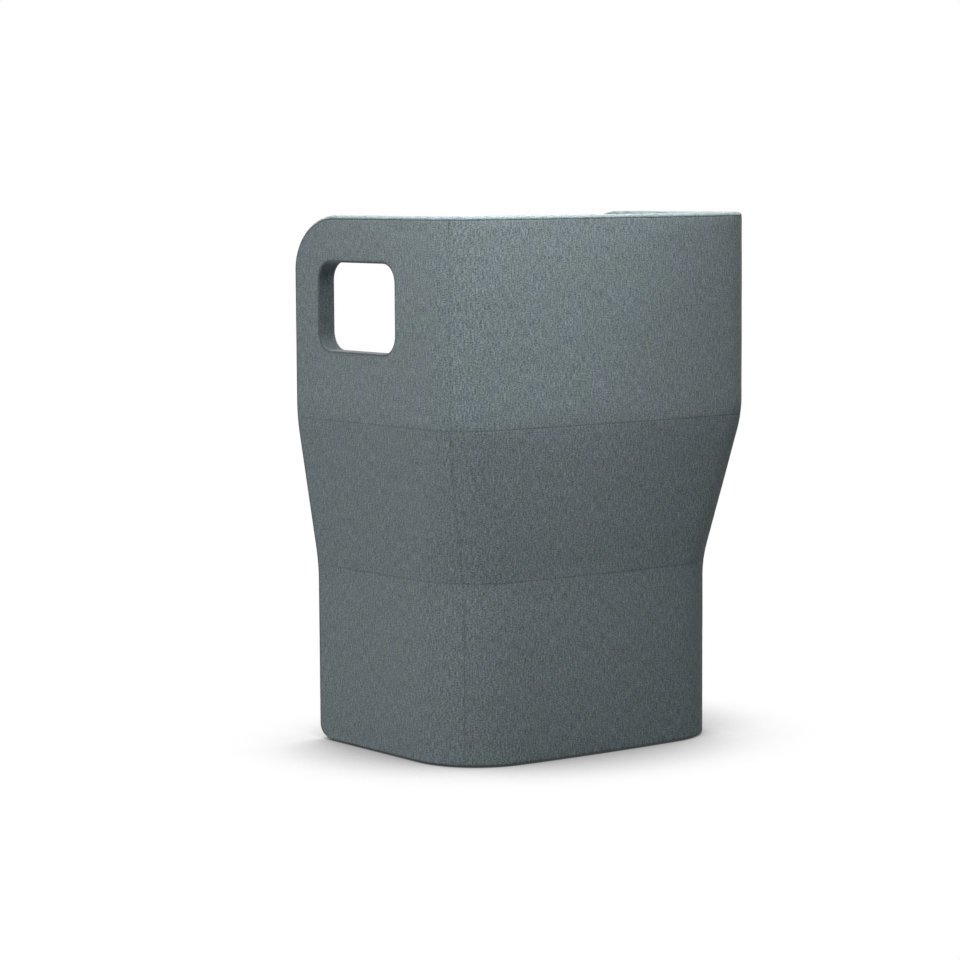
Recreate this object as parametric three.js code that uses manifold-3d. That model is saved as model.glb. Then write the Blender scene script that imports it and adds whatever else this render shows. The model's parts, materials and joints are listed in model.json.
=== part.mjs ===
// Acoustic high back lounge chair: an upholstered U-shaped wall in three bands round a seat box.
// Lengths are millimetres. X runs across the chair, -Y is its open front and Z is up from the floor.
import * as THREE from 'three';
import { mergeVertices } from 'three/addons/utils/BufferGeometryUtils.js';
import Module from 'manifold-3d';

const wasm = await Module();
wasm.setup();

// Outer form of the wall: the base stands upright, the middle band leans out, the top stands upright
const overallHeight = 1350;
const baseWidth = 870;
const baseDepth = 632;
const sideLean = 45;
const frontLean = 23;
const backLean = 61;
const hemHeight = 6;
const lowerBendHeight = 455;
const upperBendHeight = 835;
const bendEase = 44;
const baseCornerRadius = 187;
const topCornerRadius = 110;
const backCurveRadius = 4500;
const wingCornerLength = 180;
const wingCornerDropShare = 0.272;
const footCornerRadius = 36;

// Where the upright seam lies round each rear corner, as a share of the corner's turn
const seamTurnBaseShare = 0.5;
const seamTurnTopShare = 0.36;

// Layers of the wall, from the outside in: cover, foam, board, foam, cover
const wallThickness = 48;
const coverThickness = 2;
const foamThickness = 11;
const foamLap = 1.5;
const foamTuck = 0.2;
const fitGap = 0.3;
const edgeRadius = 10;
const cutOverrun = 5;

// Rail let into the board layer at the foot; the rails at the bends are as tall as the bends
const baseRailHeight = 60;

// Opening through each wing; its height and its drop are shares of the upper band's height
const windowWidth = 328;
const windowHeightShare = 0.431;
const windowDropShare = 0.2274;
const windowCornerRadius = 48;
const windowSetback = 112.5;
const windowEdgeRadius = 3;

// Seat box inside the wall
const boxBoardThickness = 18;
const boxBottomHeight = 12;
const boxTopHeight = 300;
const frontSetback = 16;
const frontFoamThickness = 8;
const blockWidth = 50;
const blockHeight = 60;
const rearRailSetback = 103;
const rearRailDepth = 42;
const dustCoverThickness = 1;
const dustHoleRadius = 9;
const dustCoverMargin = 2;
const insertHoleDepth = 38;

// Elastic webbing woven over the seat box
const strapWidth = 50;
const strapThickness = 2;
const longStrapCount = 6;
const crossStrapCount = 4;
const lastStrapSetback = 94;
const weaveBite = 0.2;

// Seat and back cushions
const cushionClearance = 0.8;
const seatEdgeHeight = 424;
const seatCrown = 21;
const seatOverhang = 10;
const seatEdgeRadius = 26;
const seatSideBulge = 5;
const seatPlanRadius = 18;
const backCushionThickness = 74;
const backCushionCrown = 16;
const backCushionBottom = 438;
const backCushionTop = 820;
const backCushionRadius = 34;

// Levelling glides: an M8 stud that turns in a threaded insert and carries a swivel pad
const padRadius = 16;
const padHeight = 6;
const padFloorThickness = 1.8;
const padLipThickness = 1.4;
const padEdge = 0.8;
const padShoulderRadius = 11;
const padLipClearance = 1;
const studRadius = 4;
const studLength = 42;
const studHeadRadius = 6.7;
const studHeadClearance = 0.3;
const studChamfer = 1;
const insertWall = 1.9;
const insertLength = 18;
const threadClearance = 0.3;
const rearGlideShare = 0.68;

// How finely curves are faceted
const cornerSteps = 4;
const backSteps = 2;
const ellipseSteps = 6;
const footSteps = 2;
const coverArcSteps = 3;
const liningArcSteps = 2;
const foamArcSteps = 1;
const windowArcSteps = 4;
const roundSteps = 12;
const seatPlanSteps = 2;
const seatSideSteps = 4;
const seatEdgeSteps = 3;
const seatCrownShares = [0.75, 0.5, 0.25];
const cushionCornerSteps = 7;
const cushionFrontSteps = 6;
const cushionEndSteps = 3;

// Values worked out from the sizes above
const upperBandHeight = overallHeight - upperBendHeight;
const wingCornerDrop = upperBandHeight * wingCornerDropShare;
const overallDepth = baseDepth + frontLean + backLean;
const topHalfWidth = baseWidth / 2 + sideLean;
const baseHalfWidth = baseWidth / 2;
const baseFront = frontLean - overallDepth / 2;
const topFront = -overallDepth / 2;
const foamOuterDepth = coverThickness + fitGap;
const foamInnerEnd = wallThickness - foamOuterDepth;
const cushionFoamDepth = coverThickness + cushionClearance;
const boardDepth = foamOuterDepth + foamThickness + fitGap;
const boardEnd = wallThickness - boardDepth;
const interiorDepth = wallThickness + fitGap;
const boxInnerDepth = interiorDepth + boxBoardThickness;
const coverInset = edgeRadius + fitGap;
const windowCoverInset = windowEdgeRadius + fitGap;
const beadInset = foamOuterDepth + foamThickness;
const boardInset = beadInset + fitGap;
const underside = hemHeight + foamOuterDepth;
const frontFace = baseFront + frontSetback;
const frontFoamFace = frontFace + coverThickness + fitGap;
const boxFront = frontFoamFace + frontFoamThickness + fitGap;
const boxFrontBack = boxFront + boxBoardThickness;
const rearRailBack = baseFront + baseDepth - rearRailSetback;
const windowHeight = upperBandHeight * windowHeightShare;
const windowFront = topFront + windowSetback;
const windowMiddleY = windowFront + windowWidth / 2;
const windowTop = overallHeight - upperBandHeight * windowDropShare;
const windowMiddleZ = windowTop - windowHeight / 2;
const rearGlideOffset = baseHalfWidth * rearGlideShare;
const strapPitch = (baseWidth - 2 * boxInnerDepth) / longStrapCount;
const firstStrapY = boxFrontBack + strapWidth;
const crossStrapPitch = (rearRailBack - lastStrapSetback - firstStrapY) / (crossStrapCount - 1);
const webHeight = boxTopHeight + fitGap + strapThickness / 2;
const weaveLift = strapThickness - weaveBite;
const seatBottom = webHeight + weaveLift + strapThickness / 2 + fitGap;

// Places along the plan of the wall, as shares: wing, corner, half the back, then the same mirrored
const wingEndShare = 1;
const cornerEndShare = 2;
const backMiddleShare = 3;
const pathEndShare = 6;

const materials = {
  fabric: { color: 0x737d80, roughness: 0.95, metalness: 0 },
  foam: { color: 0xd8cfae, roughness: 0.9, metalness: 0 },
  plywood: { color: 0xc9a876, roughness: 0.7, metalness: 0 },
  timber: { color: 0xb98d5c, roughness: 0.7, metalness: 0 },
  webbing: { color: 0x2a2b2d, roughness: 0.85, metalness: 0 },
  nonwoven: { color: 0x1d1e20, roughness: 0.95, metalness: 0 },
  steel: { color: 0xa9acaf, roughness: 0.35, metalness: 1 },
  plastic: { color: 0x232426, roughness: 0.5, metalness: 0 },
};

const chair = new THREE.Group();

function addPiece(name, geometry, materialName) {
  const mesh = new THREE.Mesh(geometry, new THREE.MeshStandardMaterial(materials[materialName]));
  mesh.name = name;
  chair.add(mesh);
}

// Closed meshes from points and triangles, turned so that their faces point out
function signedVolume(points, triangles) {
  let volume = 0;
  for (const [a, b, c] of triangles) {
    volume += points[a].dot(new THREE.Vector3().crossVectors(points[b], points[c])) / 6;
  }
  return volume;
}

function closedGeometry(points, triangles) {
  const flipped = signedVolume(points, triangles) < 0;
  const index = triangles.flatMap(([a, b, c]) => (flipped ? [a, c, b] : [a, b, c]));
  const geometry = new THREE.BufferGeometry();
  const values = points.flatMap((point) => [point.x, point.y, point.z]);
  geometry.setAttribute('position', new THREE.Float32BufferAttribute(values, 3));
  geometry.setIndex(index);
  return geometry;
}

function toSolid(geometry) {
  const bare = geometry.clone();
  bare.deleteAttribute('normal');
  bare.deleteAttribute('uv');
  const merged = mergeVertices(bare);
  const mesh = new wasm.Mesh({
    numProp: 3,
    vertProperties: new Float32Array(merged.attributes.position.array),
    triVerts: new Uint32Array(merged.index.array),
  });
  return new wasm.Manifold(mesh);
}

function fromSolid(solid) {
  const mesh = solid.getMesh();
  const geometry = new THREE.BufferGeometry();
  geometry.setAttribute('position', new THREE.Float32BufferAttribute(mesh.vertProperties, 3));
  geometry.setIndex(Array.from(mesh.triVerts));
  return geometry;
}

function cutAway(geometry, cutters) {
  let solid = toSolid(geometry);
  for (const cutter of cutters) {
    solid = solid.subtract(toSolid(cutter));
  }
  return fromSolid(solid);
}

function joined(geometries) {
  let solid = toSolid(geometries[0]);
  for (const geometry of geometries.slice(1)) {
    solid = solid.add(toSolid(geometry));
  }
  return fromSolid(solid);
}

function boxBetween(low, high) {
  const size = new THREE.Vector3().subVectors(high, low);
  const geometry = new THREE.BoxGeometry(size.x, size.y, size.z);
  const middle = new THREE.Vector3().addVectors(low, high).multiplyScalar(0.5);
  return geometry.translate(middle.x, middle.y, middle.z);
}

function uprightCylinder(x, y, zLow, zHigh, radius) {
  const geometry = new THREE.CylinderGeometry(radius, radius, zHigh - zLow, roundSteps);
  geometry.rotateX(Math.PI / 2);
  return geometry.translate(x, y, (zLow + zHigh) / 2);
}

// Plan of the wall's outer face at a height
function leanRamp(rise) {
  if (rise <= -bendEase) return 0;
  if (rise >= bendEase) return rise;
  return (rise + bendEase) ** 2 / (4 * bendEase);
}

function leanShare(z) {
  const climb = leanRamp(z - lowerBendHeight) - leanRamp(z - upperBendHeight);
  return climb / (upperBendHeight - lowerBendHeight);
}

function planAt(z) {
  const share = leanShare(z);
  const halfWidth = baseHalfWidth + sideLean * share;
  const front = topFront + frontLean * (1 - share);
  const back = overallDepth / 2 - backLean * (1 - share);
  const radius = THREE.MathUtils.lerp(baseCornerRadius, topCornerRadius, share);
  const cornerX = halfWidth - radius;
  const backCentre = back - backCurveRadius;
  const reach = Math.sqrt((backCurveRadius - radius) ** 2 - cornerX ** 2);
  const cornerY = backCentre + reach;
  const turn = Math.atan2(reach, cornerX);
  return { halfWidth, front, radius, cornerX, cornerY, backCentre, turn };
}

// Front edge of a wing at a height, set in from the outline: foot corner, upright edge, top corner
function frontAt(z, inset) {
  const front = planAt(z).front;
  const footCentre = hemHeight + footCornerRadius;
  const topCentre = overallHeight - wingCornerDrop;
  if (z < hemHeight + inset) return front + footCornerRadius;
  if (z < footCentre) {
    const reach = footCornerRadius - inset;
    return front + footCornerRadius - Math.sqrt(Math.max(reach ** 2 - (footCentre - z) ** 2, 0));
  }
  if (z > topCentre) {
    const rise = (z - topCentre) / (wingCornerDrop - inset);
    const reach = (wingCornerLength - inset) * Math.sqrt(Math.max(1 - rise ** 2, 0));
    return front + wingCornerLength - reach;
  }
  return front + inset;
}

// A point of the wall: share along the plan, height, depth in from the outer face, inset from the edge
function wallPoint(share, z, depth, inset) {
  const side = share <= backMiddleShare ? 1 : -1;
  const local = share <= backMiddleShare ? share : pathEndShare - share;
  const plan = planAt(z);
  if (local <= wingEndShare) {
    const y = THREE.MathUtils.lerp(frontAt(z, inset), plan.cornerY, local);
    return new THREE.Vector3(side * (plan.halfWidth - depth), y, z);
  }
  if (local <= cornerEndShare) {
    const angle = plan.turn * (local - wingEndShare);
    const reach = plan.radius - depth;
    const x = plan.cornerX + reach * Math.cos(angle);
    return new THREE.Vector3(side * x, plan.cornerY + reach * Math.sin(angle), z);
  }
  const angle = THREE.MathUtils.lerp(plan.turn, Math.PI / 2, local - cornerEndShare);
  const reach = backCurveRadius - depth;
  return new THREE.Vector3(side * reach * Math.cos(angle), plan.backCentre + reach * Math.sin(angle), z);
}

// Share along the plan where the upright seam lies, moved along the wall by a small length
function seamShare(z, shift) {
  const plan = planAt(z);
  const turnShare = THREE.MathUtils.lerp(seamTurnBaseShare, seamTurnTopShare, leanShare(z));
  return wingEndShare + turnShare + shift / (plan.radius * plan.turn);
}

function mirrored(shareAt) {
  return (z) => pathEndShare - shareAt(z);
}

function sharesBetween(startAt, endAt, steps) {
  const columns = [];
  for (let step = 0; step <= steps; step += 1) {
    columns.push((z) => THREE.MathUtils.lerp(startAt(z), endAt(z), step / steps));
  }
  return columns;
}

const wingStartAt = () => 0;
const wingEndAt = () => wingEndShare;
const cornerEndAt = () => cornerEndShare;
const backMiddleAt = () => backMiddleShare;

// Columns of a wing up to its corner seam, of the back between the seams, and of the whole wall
function sideColumns() {
  const seamAt = (z) => seamShare(z, -fitGap / 2);
  return [wingStartAt, ...sharesBetween(wingEndAt, seamAt, cornerSteps)];
}

function withMirror(right) {
  return [...right, ...right.slice(0, -1).reverse().map(mirrored)];
}

function backFrom(startAt, steps) {
  const corner = sharesBetween(startAt, cornerEndAt, steps);
  const half = sharesBetween(cornerEndAt, backMiddleAt, backSteps).slice(1);
  return [...corner, ...half];
}

function seamedBackColumns() {
  return withMirror(backFrom((z) => seamShare(z, fitGap / 2), cornerSteps));
}

// Both corners and the back in one piece, turning at the same places as the seamed pieces
function wrappedBackColumns(startAt) {
  const seamAt = (z) => seamShare(z, 0);
  const toSeam = sharesBetween(startAt, seamAt, cornerSteps).slice(0, -1);
  return withMirror([...toSeam, ...backFrom(seamAt, cornerSteps)]);
}

function wholeColumns() {
  return [wingStartAt, ...wrappedBackColumns(wingEndAt), mirrored(wingStartAt)];
}

// Heights at which the wall bends, and those of them that a piece takes between two limits
function bendRows() {
  const rows = [(lowerBendHeight + upperBendHeight) / 2];
  for (const bend of [lowerBendHeight, upperBendHeight]) {
    rows.push(bend - bendEase, bend, bend + bendEase);
  }
  return rows.sort((a, b) => a - b);
}

function keptRows(rows, low, high) {
  const inside = [low, high, ...rows].filter((z) => z >= low && z <= high).sort((a, b) => a - b);
  return inside.filter((z, place) => place === 0 || z - inside[place - 1] > fitGap);
}

function plainRows(low, high) {
  return keptRows(bendRows(), low, high);
}

function rowsBetween(low, high, inset) {
  const rows = bendRows();
  const footCentre = hemHeight + footCornerRadius;
  rows.push(hemHeight + inset, footCentre);
  for (let step = 1; step < footSteps; step += 1) {
    const angle = (Math.PI / 2) * (step / footSteps);
    rows.push(footCentre - (footCornerRadius - inset) * Math.cos(angle));
  }
  for (let step = 0; step < ellipseSteps; step += 1) {
    const angle = (Math.PI / 2) * (step / ellipseSteps);
    rows.push(overallHeight - wingCornerDrop + (wingCornerDrop - inset) * Math.sin(angle));
  }
  return keptRows(rows, low, high);
}

// A piece of the wall between two depths, as a closed grid of columns and rows
function wallPiece({ columns, rows, outer, inner, inset }) {
  const points = [];
  const triangles = [];
  const across = columns.length;
  const place = (column, row, layer) => (layer * rows.length + row) * across + column;
  for (const depth of [outer, inner]) {
    for (const z of rows) {
      for (const column of columns) {
        points.push(wallPoint(column(z), z, depth, inset));
      }
    }
  }
  const quad = (a, b, c, d) => triangles.push([a, b, c], [a, c, d]);
  const face = (column, row, layer) => {
    const low = [place(column, row, layer), place(column + 1, row, layer)];
    const high = [place(column, row + 1, layer), place(column + 1, row + 1, layer)];
    const around = [low[0], low[1], high[1], high[0]];
    const facing = layer === 0 ? around : around.reverse();
    const onLeft = columns[column](rows[row]) >= backMiddleShare;
    const turnedBy = onLeft === (layer === 0) ? 1 : 0;
    quad(...facing.slice(turnedBy), ...facing.slice(0, turnedBy));
  };
  for (let row = 0; row + 1 < rows.length; row += 1) {
    for (let column = 0; column + 1 < across; column += 1) {
      face(column, row, 0);
      face(column, row, 1);
    }
    quad(place(0, row, 0), place(0, row + 1, 0), place(0, row + 1, 1), place(0, row, 1));
    const last = across - 1;
    quad(place(last, row, 0), place(last, row, 1), place(last, row + 1, 1), place(last, row + 1, 0));
  }
  const top = rows.length - 1;
  for (let column = 0; column + 1 < across; column += 1) {
    quad(place(column, 0, 0), place(column, 0, 1), place(column + 1, 0, 1), place(column + 1, 0, 0));
    quad(place(column, top, 0), place(column + 1, top, 0), place(column + 1, top, 1), place(column, top, 1));
  }
  return closedGeometry(points, triangles);
}

function mirroredInX(geometry) {
  const copy = geometry.clone();
  copy.scale(-1, 1, 1);
  const index = copy.index.array;
  const flipped = [];
  for (let corner = 0; corner < index.length; corner += 3) {
    flipped.push(index[corner], index[corner + 2], index[corner + 1]);
  }
  copy.setIndex(flipped);
  return copy;
}

// Both wings: the same shape, mirrored
function addBothSides(name, geometry, materialName) {
  addPiece(`${name}_right`, geometry, materialName);
  addPiece(`${name}_left`, mirroredInX(geometry), materialName);
}

// Outline of the window, set out from the opening by a margin, as points in Y and Z
function windowOutline(margin) {
  const halfY = windowWidth / 2 - windowCornerRadius;
  const halfZ = windowHeight / 2 - windowCornerRadius;
  const radius = windowCornerRadius + margin;
  const outline = [];
  const corners = [[1, 1], [-1, 1], [-1, -1], [1, -1]];
  corners.forEach(([signY, signZ], quarter) => {
    for (let step = 0; step <= windowArcSteps; step += 1) {
      const angle = (Math.PI / 2) * (quarter + step / windowArcSteps);
      const y = windowMiddleY + signY * halfY + radius * Math.cos(angle);
      const z = windowMiddleZ + signZ * halfZ + radius * Math.sin(angle);
      outline.push(new THREE.Vector2(y, z));
    }
  });
  return outline;
}

function windowCutter(margin) {
  const shape = new THREE.Shape(windowOutline(margin));
  const length = wallThickness + 2 * cutOverrun;
  const geometry = new THREE.ExtrudeGeometry(shape, { depth: length, bevelEnabled: false });
  const alongX = new THREE.Matrix4().makeBasis(
    new THREE.Vector3(0, 1, 0),
    new THREE.Vector3(0, 0, 1),
    new THREE.Vector3(1, 0, 0),
  );
  geometry.applyMatrix4(alongX);
  return geometry.translate(topHalfWidth - wallThickness - cutOverrun, 0, 0);
}

// Sections across an edge of the wall that is rounded to a corner radius, as points of depth and inset
function arcPoints(centreDepth, corner, radius, startTurn, endTurn, steps) {
  const points = [];
  for (let step = 0; step <= steps; step += 1) {
    const angle = THREE.MathUtils.lerp(startTurn, endTurn, step / steps);
    points.push([centreDepth - radius * Math.cos(angle), corner - radius * Math.sin(angle)]);
  }
  return points;
}

function coverSection(corner, steps) {
  const farCentre = wallThickness - corner;
  const innerRadius = corner - coverThickness;
  const outside = [
    ...arcPoints(corner, corner, corner, 0, Math.PI / 2, steps),
    ...arcPoints(farCentre, corner, corner, Math.PI / 2, Math.PI, steps),
  ];
  const inside = [
    ...arcPoints(farCentre, corner, innerRadius, Math.PI, Math.PI / 2, steps),
    ...arcPoints(corner, corner, innerRadius, Math.PI / 2, 0, steps),
  ];
  return [...outside, ...inside];
}

function foamBeadSection(corner) {
  const farCentre = wallThickness - corner;
  const radius = corner - foamOuterDepth - foamTuck;
  return [
    [foamOuterDepth + foamTuck, beadInset],
    ...arcPoints(corner, corner, radius, 0, Math.PI / 2, foamArcSteps),
    ...arcPoints(farCentre, corner, radius, Math.PI / 2, Math.PI, foamArcSteps),
    [foamInnerEnd - foamTuck, beadInset],
  ];
}

// A section carried along stations, each of which places a depth and an inset in space
function sweep(section, stations, closed) {
  const points = [];
  const triangles = [];
  const count = section.length;
  for (const station of stations) {
    for (const [depth, inset] of section) {
      points.push(station(depth, inset));
    }
  }
  const last = closed ? stations.length : stations.length - 1;
  for (let step = 0; step < last; step += 1) {
    const here = step * count;
    const next = ((step + 1) % stations.length) * count;
    for (let corner = 0; corner < count; corner += 1) {
      const after = (corner + 1) % count;
      triangles.push([here + corner, here + after, next + after]);
      triangles.push([here + corner, next + after, next + corner]);
    }
  }
  if (!closed) {
    const shape = section.map(([depth, inset]) => new THREE.Vector2(depth, inset));
    const turn = Math.sign(THREE.ShapeUtils.area(shape));
    const end = (stations.length - 1) * count;
    for (const [a, b, c] of THREE.ShapeUtils.triangulateShape(shape, [])) {
      const same = Math.sign(THREE.ShapeUtils.area([shape[a], shape[b], shape[c]])) === turn;
      const along = same ? [a, b, c] : [a, c, b];
      triangles.push([along[0], along[2], along[1]]);
      triangles.push(along.map((corner) => corner + end));
    }
  }
  return closedGeometry(points, triangles);
}

// Stations along the wall's edge: round the foot corner, up the front, round the top corner
function wingEdgeStations() {
  const stations = [];
  const footCentre = hemHeight + footCornerRadius;
  const topCentre = overallHeight - wingCornerDrop;
  for (let step = 0; step <= footSteps; step += 1) {
    const angle = (Math.PI / 2) * (step / footSteps);
    stations.push((depth, inset) => {
      const reach = footCornerRadius - inset;
      const plan = planAt(footCentre);
      const y = plan.front + footCornerRadius - reach * Math.sin(angle);
      return new THREE.Vector3(plan.halfWidth - depth, y, footCentre - reach * Math.cos(angle));
    });
  }
  for (const z of bendRows()) {
    stations.push((depth, inset) => {
      const plan = planAt(z);
      return new THREE.Vector3(plan.halfWidth - depth, plan.front + inset, z);
    });
  }
  for (let step = 0; step <= ellipseSteps; step += 1) {
    const angle = (Math.PI / 2) * (step / ellipseSteps);
    stations.push((depth, inset) => {
      const y = topFront + wingCornerLength - (wingCornerLength - inset) * Math.cos(angle);
      const z = topCentre + (wingCornerDrop - inset) * Math.sin(angle);
      return new THREE.Vector3(topHalfWidth - depth, y, z);
    });
  }
  return stations;
}

function topEdgeStations(columns) {
  return columns.map((column) => (depth, inset) => {
    const z = overallHeight - inset;
    return wallPoint(column(z), z, depth, inset);
  });
}

function mirroredStations(stations) {
  return [...stations].reverse().map((station) => (depth, inset) => {
    const point = station(depth, inset);
    return new THREE.Vector3(-point.x, point.y, point.z);
  });
}

function windowStations() {
  return windowOutline(0).map((start, place) => (depth, inset) => {
    const point = windowOutline(inset)[place];
    return new THREE.Vector3(topHalfWidth - depth, point.x, point.y);
  });
}

// Outer cover: a side, back and side panel in each of the three bands
function addOuterCover() {
  const bands = [
    ['lower', hemHeight, lowerBendHeight - fitGap / 2],
    ['middle', lowerBendHeight + fitGap / 2, upperBendHeight - fitGap / 2],
    ['upper', upperBendHeight + fitGap / 2, overallHeight - coverInset],
  ];
  for (const [band, low, high] of bands) {
    const limits = { outer: 0, inner: coverThickness, inset: coverInset };
    let side = wallPiece({ columns: sideColumns(), rows: rowsBetween(low, high, coverInset), ...limits });
    if (band === 'upper') {
      side = cutAway(side, [windowCutter(windowCoverInset)]);
    }
    addBothSides(`outer_side_panel_${band}`, side, 'fabric');
    const back = wallPiece({ columns: seamedBackColumns(), rows: plainRows(low, high), ...limits });
    addPiece(`outer_back_panel_${band}`, back, 'fabric');
  }
}

function addInnerCover() {
  const limits = { outer: wallThickness - coverThickness, inner: wallThickness, inset: coverInset };
  const high = overallHeight - coverInset;
  const side = wallPiece({ columns: sideColumns(), rows: rowsBetween(underside, high, coverInset), ...limits });
  addBothSides('inner_cover', cutAway(side, [windowCutter(windowCoverInset)]), 'fabric');
  const back = wallPiece({ columns: seamedBackColumns(), rows: plainRows(underside, high), ...limits });
  addPiece('inner_cover_back', back, 'fabric');
}

// Strip of cover that is sewn round the whole front and top edge of the wall
function addEdgeCover() {
  const wing = wingEdgeStations();
  const top = topEdgeStations(wholeColumns().slice(1, -1));
  const stations = [...wing, ...top, ...mirroredStations(wing)];
  addPiece('edge_cover', sweep(coverSection(edgeRadius, coverArcSteps), stations, false), 'fabric');
}

function addWindowLinings() {
  const section = coverSection(windowEdgeRadius, liningArcSteps);
  addBothSides('window_lining', sweep(section, windowStations(), true), 'fabric');
}

// Cover turned under the foot of the wall, between its two faces
function addHemStrip() {
  const startAt = (z) => {
    const plan = planAt(z);
    return fitGap / (plan.cornerY - plan.front - footCornerRadius);
  };
  const strip = wallPiece({
    columns: [startAt, ...wrappedBackColumns(wingEndAt), mirrored(startAt)],
    rows: [hemHeight, hemHeight + coverThickness],
    outer: foamOuterDepth,
    inner: foamInnerEnd,
    inset: foamOuterDepth,
  });
  addPiece('hem_strip', strip, 'fabric');
}

// Foam wrapped over both faces and the edge of the boards
function foamSheets(columns, rows) {
  const inset = beadInset - foamLap;
  const outside = wallPiece({ columns, rows, outer: foamOuterDepth, inner: beadInset, inset });
  const inside = wallPiece({ columns, rows, outer: boardEnd + fitGap, inner: foamInnerEnd, inset });
  return [outside, inside];
}

function addFoam() {
  const high = overallHeight - beadInset + foamLap;
  const inset = beadInset - foamLap;
  const seamAt = (z) => seamShare(z, -fitGap / 2);
  const sideTop = topEdgeStations(sharesBetween(wingEndAt, seamAt, cornerSteps));
  const sideBead = sweep(foamBeadSection(edgeRadius), [...wingEdgeStations(), ...sideTop], false);
  const [outside, inside] = foamSheets(sideColumns(), rowsBetween(underside, high, inset));
  const cutters = [windowCutter(inset)];
  const windowBead = sweep(foamBeadSection(windowEdgeRadius), windowStations(), true);
  const side = joined([cutAway(outside, cutters), cutAway(inside, cutters), sideBead, windowBead]);
  addBothSides('side_foam', side, 'foam');
  const backBead = sweep(foamBeadSection(edgeRadius), topEdgeStations(seamedBackColumns()), false);
  const back = joined([...foamSheets(seamedBackColumns(), plainRows(underside, high)), backBead]);
  addPiece('back_foam', back, 'foam');
}

// Boards and rails in the middle of the wall
function addBoards() {
  const railTop = underside + baseRailHeight;
  const bands = [
    ['lower', railTop + fitGap, lowerBendHeight - bendEase - fitGap],
    ['middle', lowerBendHeight + bendEase + fitGap, upperBendHeight - bendEase - fitGap],
    ['upper', upperBendHeight + bendEase + fitGap, overallHeight - boardInset],
  ];
  const limits = { outer: boardDepth, inner: boardEnd, inset: boardInset };
  const backStartAt = (z) => wingEndShare + fitGap / (planAt(z).radius * planAt(z).turn);
  for (const [band, low, high] of bands) {
    const rows = rowsBetween(low, high, boardInset);
    let side = wallPiece({ columns: [wingStartAt, wingEndAt], rows, ...limits });
    if (band === 'upper') {
      side = cutAway(side, [windowCutter(boardInset)]);
    }
    addBothSides(`side_board_${band}`, side, 'plywood');
    const columns = wrappedBackColumns(backStartAt);
    addPiece(`back_board_${band}`, wallPiece({ columns, rows: plainRows(low, high), ...limits }), 'plywood');
  }
  const rails = [
    ['base_rail', underside, railTop],
    ['lower_bend_rail', lowerBendHeight - bendEase, lowerBendHeight + bendEase],
    ['upper_bend_rail', upperBendHeight - bendEase, upperBendHeight + bendEase],
  ];
  for (const [name, low, high] of rails) {
    const rows = rowsBetween(low, high, boardInset);
    addPiece(name, wallPiece({ columns: wholeColumns(), rows, ...limits }), 'timber');
  }
}

// Space inside the wall's base, set in by a depth, from a front line to the back
function interiorRing(z, depth, front) {
  const halfWidth = planAt(z).halfWidth - depth;
  const back = wrappedBackColumns(wingEndAt).map((column) => wallPoint(column(z), z, depth, 0));
  return [new THREE.Vector3(halfWidth, front, z), ...back, new THREE.Vector3(-halfWidth, front, z)];
}

function interiorPrism(depth, front, low, high) {
  const outline = interiorRing(low, depth, front).map((point) => new THREE.Vector2(point.x, point.y));
  const shape = new THREE.Shape(outline);
  const geometry = new THREE.ExtrudeGeometry(shape, { depth: high - low, bevelEnabled: false });
  return geometry.translate(0, 0, low);
}

// How far the inside of the base reaches to the side at a given y, and to the back at a given x
function interiorReachX(y, depth) {
  const plan = planAt(hemHeight);
  if (y <= plan.cornerY) return plan.halfWidth - depth;
  return plan.cornerX + Math.sqrt((plan.radius - depth) ** 2 - (y - plan.cornerY) ** 2);
}

function interiorReachY(x, depth) {
  const plan = planAt(hemHeight);
  if (x <= plan.cornerX) return plan.backCentre + Math.sqrt((backCurveRadius - depth) ** 2 - x ** 2);
  return plan.cornerY + Math.sqrt((plan.radius - depth) ** 2 - (x - plan.cornerX) ** 2);
}

// Seat box: front, side and curved rear boards
function addSeatBox() {
  const plan = planAt(hemHeight);
  const reach = plan.halfWidth - interiorDepth;
  const innerReach = plan.halfWidth - boxInnerDepth;
  const front = boxBetween(
    new THREE.Vector3(-reach, boxFront, boxBottomHeight),
    new THREE.Vector3(reach, boxFrontBack, boxTopHeight),
  );
  addPiece('seat_box_front', front, 'plywood');
  const side = boxBetween(
    new THREE.Vector3(innerReach, boxFrontBack + fitGap, boxBottomHeight),
    new THREE.Vector3(reach, plan.cornerY - fitGap, boxTopHeight),
  );
  addBothSides('seat_box_side', side, 'plywood');
  const rear = wallPiece({
    columns: wrappedBackColumns(wingEndAt),
    rows: [boxBottomHeight, boxTopHeight],
    outer: interiorDepth,
    inner: boxInnerDepth,
    inset: 0,
  });
  addPiece('seat_box_rear', rear, 'plywood');
}

// Places of the four levelling glides, seen from above
function glidePlaces() {
  const blockReach = baseHalfWidth - boxInnerDepth - fitGap;
  const frontX = blockReach - blockWidth / 2;
  const frontY = boxFrontBack + fitGap + blockWidth / 2;
  const rearY = rearRailBack - rearRailDepth / 2;
  return [
    ['front_right', frontX, frontY],
    ['front_left', -frontX, frontY],
    ['rear_right', rearGlideOffset, rearY],
    ['rear_left', -rearGlideOffset, rearY],
  ];
}

function insertHole(x, y) {
  const radius = studRadius + threadClearance + insertWall + fitGap;
  return uprightCylinder(x, y, boxBottomHeight - cutOverrun, boxBottomHeight + insertHoleDepth, radius);
}

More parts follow.
